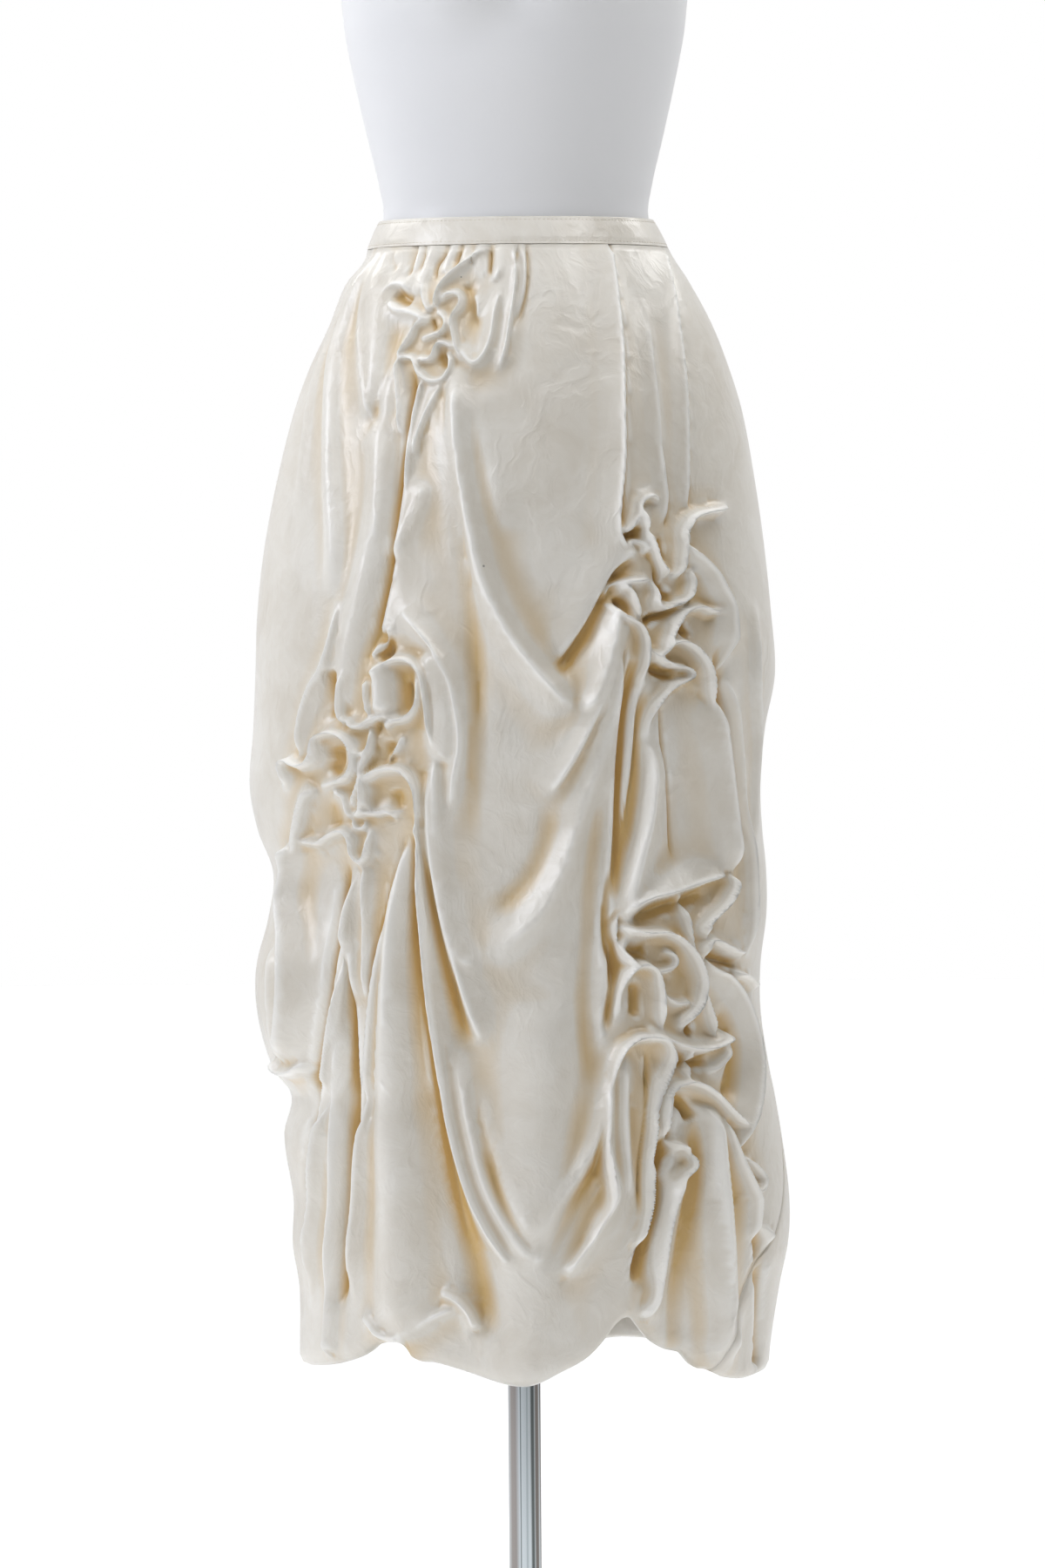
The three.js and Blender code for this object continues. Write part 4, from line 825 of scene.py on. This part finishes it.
def double_grid(columns, rows):
    """Two flat grids, the inner one just below the outer, joined round their edges."""
    mesh = flat_grid(columns, rows)
    copied = bmesh.ops.duplicate(mesh, geom=mesh.verts[:] + mesh.edges[:] + mesh.faces[:])["geom"]
    inner = [item for item in copied if isinstance(item, bmesh.types.BMVert)]
    bmesh.ops.translate(mesh, verts=inner, vec=(0, 0, -INNER_DEPTH))
    bmesh.ops.bridge_loops(mesh, edges=[edge for edge in mesh.edges if edge.is_boundary])
    return mesh


def refine(mesh, fine):
    """Cut the fine cells of the outer grid down to single lattice steps."""
    rows, columns = fine.shape

    def is_fine(face):
        x, y, z = face.calc_center_median()
        return z > -TOUCHING and fine[int((y + 0.5) * rows), int((x + 0.5) * columns)]

    for upright in (False, True):
        edges = {edge for face in mesh.faces if is_fine(face) for edge in face.edges
                 if (abs(edge.verts[0].co.x - edge.verts[1].co.x) < TOUCHING) == upright}
        edges = sorted(edges, key=lambda edge: edge.index)
        bmesh.ops.subdivide_edges(mesh, edges=edges, cuts=CELL - 1, use_grid_fill=True)
        mesh.edges.index_update()


def as_object(name, mesh):
    bmesh.ops.recalc_face_normals(mesh, faces=mesh.faces)
    data = bpy.data.meshes.new(name)
    mesh.to_mesh(data)
    mesh.free()
    piece = bpy.data.objects.new(name, data)
    bpy.context.scene.collection.objects.link(piece)
    return piece


def dress(piece, material, replaces=()):
    piece.data.materials.append(material)
    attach(piece, "root")
    if replaces:
        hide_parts(*replaces)
    return piece


# ---------------------------------------------------------------- materials
def linear(colour):
    """sRGB hex to linear RGBA."""
    parts = [int(colour[i:i + 2], 16) / 255 for i in (1, 3, 5)]
    return [p / 12.92 if p <= 0.04045 else ((p + 0.055) / 1.055) ** 2.4 for p in parts] + [1]


def fill(tree, made, **inputs):
    """Link or set a node's inputs, given by name, or by number as n0, n1 and so on."""
    for key, value in inputs.items():
        numbered = key[0] == "n" and key[1:].isdigit()
        socket = made.inputs[int(key[1:]) if numbered else key.replace("_", " ")]
        if isinstance(value, bpy.types.NodeSocket):
            tree.links.new(value, socket)
        else:
            socket.default_value = value


def node(tree, kind, settings=None, **inputs):
    """Add a node, set it, and link or set its inputs."""
    made = tree.nodes.new(kind)
    for key, value in (settings or {}).items():
        setattr(made, key, value)
    fill(tree, made, **inputs)
    return made


def maths(tree, operation, *terms):
    numbered = {f"n{index}": term for index, term in enumerate(terms)}
    return node(tree, "ShaderNodeMath", {"operation": operation}, **numbered).outputs[0]


def mapped(tree, value, start, end, low=0.0, high=1.0):
    """The value told anew, so that start becomes low and end becomes high."""
    return node(tree, "ShaderNodeMapRange", Value=value, n1=start, n2=end, n3=low,
                n4=high).outputs["Result"]


def mixed(tree, share, under, over, kind="RGBA"):
    """What share of under is turned to over, for colours or, as FLOAT, for plain numbers."""
    return node(tree, "ShaderNodeMix", {"data_type": kind}, Factor=share, A=under,
                B=over).outputs["Result"]


def noise(tree, place, scale, detail=2.0, roughness=0.5):
    return node(tree, "ShaderNodeTexNoise", Vector=place, Scale=scale, Detail=detail,
                Roughness=roughness).outputs


def drawn_out(tree, place, share):
    """The place with its height scaled by share, so that a pattern there runs up and down."""
    return node(tree, "ShaderNodeMapping", Vector=place, Scale=(1, 1, share)).outputs["Vector"]


def bumped(tree, height, strength, distance, **under):
    """The normal over small bumps, laid over the bumps under them."""
    return node(tree, "ShaderNodeBump", Height=height, Strength=strength, Distance=distance,
                **under).outputs["Normal"]


def own_strength(tree, seen, thrown):
    """One strength for what the viewer sees, and another for the light that is thrown."""
    is_seen = node(tree, "ShaderNodeLightPath").outputs["Is Camera Ray"]
    return mixed(tree, is_seen, thrown, seen, "FLOAT")


def new_material(name):
    """A material, its tree, its shader, and the place of each point on the object."""
    material = bpy.data.materials.new(name)
    material.use_nodes = True
    tree = material.node_tree
    place = node(tree, "ShaderNodeTexCoord").outputs["Object"]
    return material, tree, tree.nodes["Principled BSDF"], place


# Two small grey stains on the front: place and radius in millimetres.
Stain = namedtuple("Stain", "across drop radius")
STAINS = [Stain(-27, 273, 1.1), Stain(-43, 47, 0.8)]


# Washed satin: long-float weave with a soft sheen, crushed a little by washing. The eye sees
# broad soft highlights, fine streaky creasing on the flats and warm cream in the deep folds; that warm
# cream is painted shade in the colour, and the crests carry a painted highlight.
def washed_satin():
    material, tree, shader, place = new_material("washed_ivory_satin")
    bent = node(tree, "ShaderNodeVectorMath", {"operation": "MULTIPLY_ADD"},
                n0=noise(tree, place, 14.0, 3.0)["Color"], n1=(0.09, 0.09, 0.09),
                n2=place).outputs["Vector"]
    crush = node(tree, "ShaderNodeTexNoise", {"noise_type": "RIDGED_MULTIFRACTAL"},
                 Vector=drawn_out(tree, bent, 0.45), Scale=22.0, Detail=4.0, Roughness=0.6,
                 Offset=1.0, Gain=1.6).outputs["Fac"]
    soft = noise(tree, bent, 60.0, 4.0)["Fac"]
    weave = noise(tree, drawn_out(tree, place, 0.12), 2600.0, 1.0)["Fac"]
    broad = noise(tree, bent, 13.0, 6.0, 0.65)["Fac"]
    colour = mixed(tree, mapped(tree, broad, 0.35, 0.65), linear("#E0D9CC"), linear("#EEEAE1"))
    # painted shade: warm gold in the hollows and creases; painted highlight: pale along the crests
    depth, crest = (node(tree, "ShaderNodeAttribute", {"attribute_name": name}).outputs["Fac"]
                    for name in ("hollow", "crest"))
    for value, start, end, shade in ((depth, 0.6, 6.5, "#DAB878"), (crest, -0.6, -3.2, "#D6B67A"),
                                     (crest, 0.0, 1.2, "#FCFAF4")):
        colour = mixed(tree, mapped(tree, value, start, end), colour, linear(shade))
    x, y, z = node(tree, "ShaderNodeSeparateXYZ", Vector=place).outputs
    ahead = maths(tree, "LESS_THAN", y, 0.0)
    for stain in STAINS:
        centre = point_at_station(stain.across, stain.drop, False, 0) * MM
        aside = node(tree, "ShaderNodeCombineXYZ", X=maths(tree, "SUBTRACT", x, centre[0]),
                     Z=maths(tree, "SUBTRACT", z, centre[2])).outputs[0]
        away = node(tree, "ShaderNodeVectorMath", {"operation": "LENGTH"}, n0=aside)
        share = mapped(tree, away.outputs["Value"], stain.radius * MM, stain.radius * MM / 2,
                       0.0, 0.8)
        colour = mixed(tree, maths(tree, "MULTIPLY", share, ahead), colour, linear("#7E7B72"))
    creases = bumped(tree, crush, 0.5, 0.0011)
    puckers = bumped(tree, soft, 0.5, 0.0012, Normal=creases)
    fill(tree, shader, Base_Color=colour, Roughness=mapped(tree, soft, 0.0, 1.0, 0.27, 0.4),
         IOR=1.6, Coat_Weight=0.45, Coat_Roughness=0.3, Coat_IOR=1.6, Sheen_Weight=0.15,
         Sheen_Roughness=0.4, Normal=bumped(tree, weave, 0.25, 0.0001, Normal=puckers))
    return material


# Polyester sewing thread in the cloth's own ivory, twisted from fine strands.
def sewing_thread():
    material, tree, shader, place = new_material("ivory_sewing_thread")
    twist = noise(tree, place, 3000.0)["Fac"]
    fill(tree, shader, Base_Color=linear("#EAE3D4"), Roughness=0.5,
         Normal=bumped(tree, twist, 0.4, 0.0001))
    return material


# Glass-fibre shell, sanded and sprayed with white satin lacquer: a faint orange peel.
def lacquered_shell():
    material, tree, shader, place = new_material("white_satin_lacquer")
    peel = noise(tree, place, 420.0)["Fac"]
    broad = noise(tree, place, 9.0, 3.0)["Fac"]
    fill(tree, shader, Base_Color=mixed(tree, broad, linear("#EFF0F2"), linear("#F6F6F7")),
         Roughness=mapped(tree, broad, 0.0, 1.0, 0.34, 0.44),
         Normal=bumped(tree, peel, 0.15, 0.0002))
    return material


# Steel tube and disc, polished and chrome plated: near-mirror, and crossed by painted reflections,
# upright dark and brownish bands painted into its colour where it would mirror the unlit parts of a
# room. across and half_width are parts of the pole's radius.
ReflectionBand = namedtuple("ReflectionBand", "across half_width colour")
PAINTED_REFLECTIONS = [
    ReflectionBand(-0.68, 0.34, "#96918E"), ReflectionBand(-0.28, 0.06, "#7C8284"), ReflectionBand(0.16, 0.08, "#B2BCC0"),
    ReflectionBand(0.50, 0.15, "#666C6C"), ReflectionBand(0.76, 0.16, "#77716D"), ReflectionBand(0.98, 0.08, "#3F3B39"),
    ReflectionBand(-0.99, 0.04, "#6B6E72"),
]
REFLECTION_CORE = 0.4                # part of a band's half-width that has its full colour


def chrome_plate():
    material, tree, shader, place = new_material("polished_chrome")
    streaks = noise(tree, drawn_out(tree, place, 0.02), 160.0, 3.0)["Fac"]
    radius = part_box("stand_pole")[1][0]
    x = node(tree, "ShaderNodeSeparateXYZ", Vector=place).outputs["X"]
    across = maths(tree, "MULTIPLY_ADD", x, 1 / radius, mapped(tree, streaks, 0.0, 1.0, -0.1, 0.1))
    colour = linear("#CBD3D7")
    # painted reflections: upright dark and brownish bands laid into the chrome's colour
    for band in PAINTED_REFLECTIONS:
        away = maths(tree, "ABSOLUTE", maths(tree, "SUBTRACT", across, band.across))
        share = mapped(tree, away, band.half_width, band.half_width * REFLECTION_CORE)
        colour = mixed(tree, share, colour, linear(band.colour))
    fill(tree, shader, Base_Color=colour, Metallic=1.0,
         Roughness=mapped(tree, streaks, 0.0, 1.0, 0.05, 0.14))
    return material


# Pale paper floor, lit from below its surface behind the stand, so that it runs out to white
# and throws little light on the side that the viewer sees.
def paper_floor():
    material, tree, shader, place = new_material("pale_paper_floor")
    back = node(tree, "ShaderNodeSeparateXYZ", Vector=place).outputs["Y"]
    thrown = mapped(tree, back, -1.5, 0.6, 0.03, 0.35)
    fill(tree, shader, Base_Color=linear("#F7F7F7"), Roughness=0.9,
         Emission_Color=linear("#FFFFFF"), Emission_Strength=own_strength(tree, 0.72, thrown))
    return material


# ---------------------------------------------------------------- the pieces
def cloth_panel(name, node_name, seam_from, seam_to, material):
    rows = WALL_ROWS + ROLL_ROWS + FLAP_ROWS
    outer, inner, rise, fine = panel_points(*unit_lattice(PANEL_COLUMNS, rows), seam_from, seam_to)
    mesh = double_grid(PANEL_COLUMNS // CELL, rows // CELL)
    refine(mesh, fine)
    places = lattice_places(mesh, PANEL_COLUMNS, rows)
    at = places[:, 1], places[:, 0]
    is_inner = np.array([vert.co.z < -TOUCHING for vert in mesh.verts])
    points = np.where(is_inner[:, None], inner[at], outer[at]) * MM
    move_to(mesh, places / (PANEL_COLUMNS, rows), points)
    piece = as_object(name, mesh)
    # painted shade and highlight: depth under the broad relief, and the fine bend, which the satin turns
    # warm gold in hollows and creases and pale on crests
    store(piece, "hollow", (softened(rise, PAINTED_SHADE_PASSES) - rise)[at])
    store(piece, "crest", (softened(rise, 1) - softened(rise, SHADE_AND_HIGHLIGHT_PASSES))[at])
    return dress(piece, material, (node_name,))


def store(piece, name, values):
    layer = piece.data.attributes.new(name, "FLOAT", "POINT")
    layer.data.foreach_set("value", values.astype(np.float32))


def band_point(turn, drop, out):
    """Point of the waistband at a turn round it and a drop, moved out from its outer face."""
    foot = SKIRT_SECTIONS[0]
    drop = drop + band_dip(np.cos(turn))
    share = drop / BAND_HEIGHT
    side = np.where(np.sin(turn) > 0, foot.right, foot.left)
    width = BAND_SIDE + (side - BAND_SIDE) * share + out
    depth = BAND_DEPTH + ((foot.front + foot.back) / 2 - BAND_DEPTH) * share + out
    return np.stack([width * np.sin(turn), -depth * np.cos(turn), BAND_TOP - drop], -1)


def waistband(material):
    half = BAND_HEIGHT / 2
    edge = BAND_THICKNESS / 2

    def place(u, v):
        # round the section: outer face down, round the lower edge, inner face up, round the top
        round_section = 2 * np.pi * v
        down = -np.cos(round_section) * BAND_STRAIGHT
        past = np.clip(np.abs(down) - 1, 0, BAND_STRAIGHT - 1) / (BAND_STRAIGHT - 1)
        level = (half - edge) * np.clip(down, -1, 1) + edge * np.sign(down) * past
        out = np.clip(np.sin(round_section) * BAND_SQUARENESS, -1, 1) * edge
        swell = BAND_SWELL * np.clip(1 - (np.abs(level) / (half - SWELL_INSET)) ** 6, 0, 1)
        out = out + np.where(out > 0, swell, 0) - edge
        return band_point(2 * np.pi * u, half + level, out)

    piece = grid_piece("waistband_strip", 288, 40, place, weld=True)
    return dress(piece, material, ("waistband",))


def edge_stitches(name, drop, material):
    count = round(2 * math.pi * BAND_MEAN_RADIUS / STITCH_PITCH)
    mesh = bmesh.new()
    for index in range(count):
        turn = 2 * math.pi * index / count
        here = band_point(turn, drop, STITCH_STANDS)
        ahead = band_point(turn + 0.01, drop, STITCH_STANDS) - here
        yaw = math.atan2(ahead[1], ahead[0])
        along = np.array([math.cos(yaw), math.sin(yaw), 0]) * STITCH_LENGTH / 2
        aside = np.array([-math.sin(yaw), math.cos(yaw), 0]) * STITCH_RADIUS
        up = np.array([0, 0, STITCH_RADIUS])
        made = bmesh.ops.create_uvsphere(mesh, u_segments=6, v_segments=4, radius=1)
        for vert in made["verts"]:
            x, y, z = vert.co
            vert.co = (here + x * along + y * aside + z * up) * MM
    for face in mesh.faces:
        face.smooth = True
    return dress(as_object(name, mesh), material)


def form_shell(material):
    sections = FORM_SECTIONS[::-1]
    high, low = sections[0].drop, sections[-1].drop
    cap = 0.02                 # part of the lattice that closes each end

    def place(u, v):
        turn = 2 * np.pi * u
        drop = high + (low - high) * np.clip((v - cap) / (1 - 2 * cap), 0, 1)
        closing = np.clip(np.minimum(v, 1 - v) / cap, 0, 1)
        side, front, back = (column(sections, "drop", name, drop)
                             for name in ("side", "front", "back"))
        ahead = np.cos(turn)
        x = side * np.sin(turn)
        away = np.hypot(np.abs(x) - BUST_ACROSS, drop - BUST_DROP) / BUST_REACH
        bust = np.where(ahead > 0, BUST_RISE * round_top(away) * ahead, 0)
        y = -np.where(ahead > 0, front, back) * ahead - bust
        return np.stack([x * closing, y * closing, BAND_TOP - drop], -1)

    piece = grid_piece("dress_form_shell", 128, 200, place, weld=True)
    return dress(piece, material, ("dress_form",))


def turned(name, node_name, stations, material):
    """A piece turned about the pole's axis, from (radius, height) stations that start and end on it."""
    stations = np.array(stations, float)
    rows = len(stations) - 1

    def place(u, v):
        turn = 2 * np.pi * u
        radius, height = (np.interp(v * rows, np.arange(rows + 1), line) for line in stations.T)
        return np.stack([radius * np.sin(turn), -radius * np.cos(turn), height], -1)

    piece = grid_piece(name, 96, rows, place, weld=True)
    piece.data.set_sharp_from_angle(angle=math.radians(35))
    return dress(piece, material, (node_name,))


def arcs_at_corners(stations, radius):
    """The same stations with each corner between the ends turned into a small arc."""
    points = [np.array(station, float) for station in stations]
    out = [points[0]]
    for before, here, after in zip(points, points[1:], points[2:]):
        start = here + (before - here) / np.linalg.norm(before - here) * radius
        end = here + (after - here) / np.linalg.norm(after - here) * radius
        for t in np.linspace(0, 1, 5):
            out.append((1 - t) ** 2 * start + 2 * t * (1 - t) * here + t * t * end)
    return out + [points[-1]]


def stand(chrome):
    """The base disc with its bevelled rim, the plain tube, and the socket under the form."""
    radius, height = (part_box("stand_base")[1][axis] / MM for axis in (0, 2))
    bevel = 3
    turned("base_disc", "stand_base", arcs_at_corners([
        (0, 0), (radius - bevel, 0), (radius, bevel), (radius, height - bevel),
        (radius - bevel, height), (0, height)], 1.2), chrome)
    pole_low, pole_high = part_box("stand_pole")
    foot, pole, top = pole_low[2] / MM, pole_high[0] / MM, pole_high[2] / MM
    turned("pole_tube", "stand_pole", [(0, foot), (pole, foot), (pole, top), (0, top)], chrome)
    bottom, top = (corner[2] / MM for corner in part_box("form_collar"))
    neck, flange, plate = 20, 45, 4
    turned("collar_socket", "form_collar", arcs_at_corners([
        (0, bottom), (neck - 2, bottom), (neck, bottom + 2), (neck, top - 2 * plate),
        (neck + plate, top - plate), (flange, top - plate), (flange, top), (0, top)], 0.8), chrome)


# ---------------------------------------------------------------- the set
def floor():
    piece = grid_piece("floor", 2, 2, lambda u, v: np.stack(
        [(u - 0.5) * FLOOR_SIZE, (v - 0.5) * FLOOR_SIZE, 0 * u], -1))
    piece.data.materials.append(paper_floor())


def softbox(name, at, towards, size, power, colour="#FFFFFF"):
    data = bpy.data.lights.new(name, "AREA")
    data.shape = "RECTANGLE"
    data.size, data.size_y = size
    data.energy = power
    data.color = linear(colour)[:3]
    lamp = bpy.data.objects.new(name, data)
    lamp.location = at
    aim = np.array(towards, float) - at
    lamp.rotation_euler = (math.acos(-aim[2] / np.linalg.norm(aim)), 0,
                           math.atan2(aim[1], aim[0]) - math.pi / 2)
    bpy.context.scene.collection.objects.link(lamp)


def studio():
    world = bpy.data.worlds.new("studio")
    world.use_nodes = True
    tree = world.node_tree
    # white wherever it's seen; it lights from behind the stand more than from the viewer's side
    facing = node(tree, "ShaderNodeSeparateXYZ",
                  Vector=node(tree, "ShaderNodeTexCoord").outputs["Generated"]).outputs["Y"]
    thrown = mapped(tree, facing, -0.2, 0.75, 0.05, 0.75)
    fill(tree, tree.nodes["Background"], Color=linear("#FFFFFF"),
         Strength=own_strength(tree, 1.0, thrown))
    bpy.context.scene.world = world
    middle, hips, form = (0, 0, 0.72), (0, 0, 1.0), (0, 0, 1.05)
    softbox("key_left", (-2.4, -1.1, 2.2), middle, (0.9, 2.0), 34, "#F3F6FF")
    softbox("side_right", (1.4, -1.2, 3.2), hips, (0.8, 1.2), 17)
    softbox("top_front", (-0.1, -1.3, 2.6), hips, (1.4, 0.8), 5)
    softbox("overhead", (0, 0.1, 3.0), hips, (2.2, 1.6), 16)
    softbox("rim_left", (-1.4, 0.6, 2.5), form, (0.6, 0.9), 8)
    softbox("rim_right", (1.4, 0.6, 2.5), form, (0.6, 0.9), 8)
    softbox("front_strip", (-1.5, -3.0, 2.6), middle, (0.4, 1.8), 12)
    bpy.context.scene.view_settings.view_transform = "Standard"


def camera():
    data = bpy.data.cameras.new("camera")
    lens = bpy.data.objects.new("camera", data)
    data.sensor_fit = "VERTICAL"
    data.sensor_height = 24
    data.lens = data.sensor_height * EYE_DISTANCE / VIEW_HEIGHT
    lens.location = (EYE_ASIDE * MM, -EYE_DISTANCE * MM, (BAND_TOP - EYE_DROP) * MM)
    lens.rotation_euler = (math.pi / 2, math.radians(VIEW_ROLL), 0)
    bpy.context.scene.collection.objects.link(lens)
    bpy.context.scene.camera = lens


satin = washed_satin()
thread = sewing_thread()
front = cloth_panel("front_cloth", "front_panel", lambda d: LEFT_SEAM + 0 * d, right_seam, satin)
back = cloth_panel("back_cloth", "back_panel", right_seam, lambda d: LEFT_SEAM + 360 + 0 * d, satin)
band = waistband(satin)
stitches = [edge_stitches("edge_stitches_top", STITCH_INSET, thread),
            edge_stitches("edge_stitches_foot", BAND_HEIGHT - STITCH_INSET, thread)]
form_shell(lacquered_shell())
stand(chrome_plate())

camera()
studio()
floor()
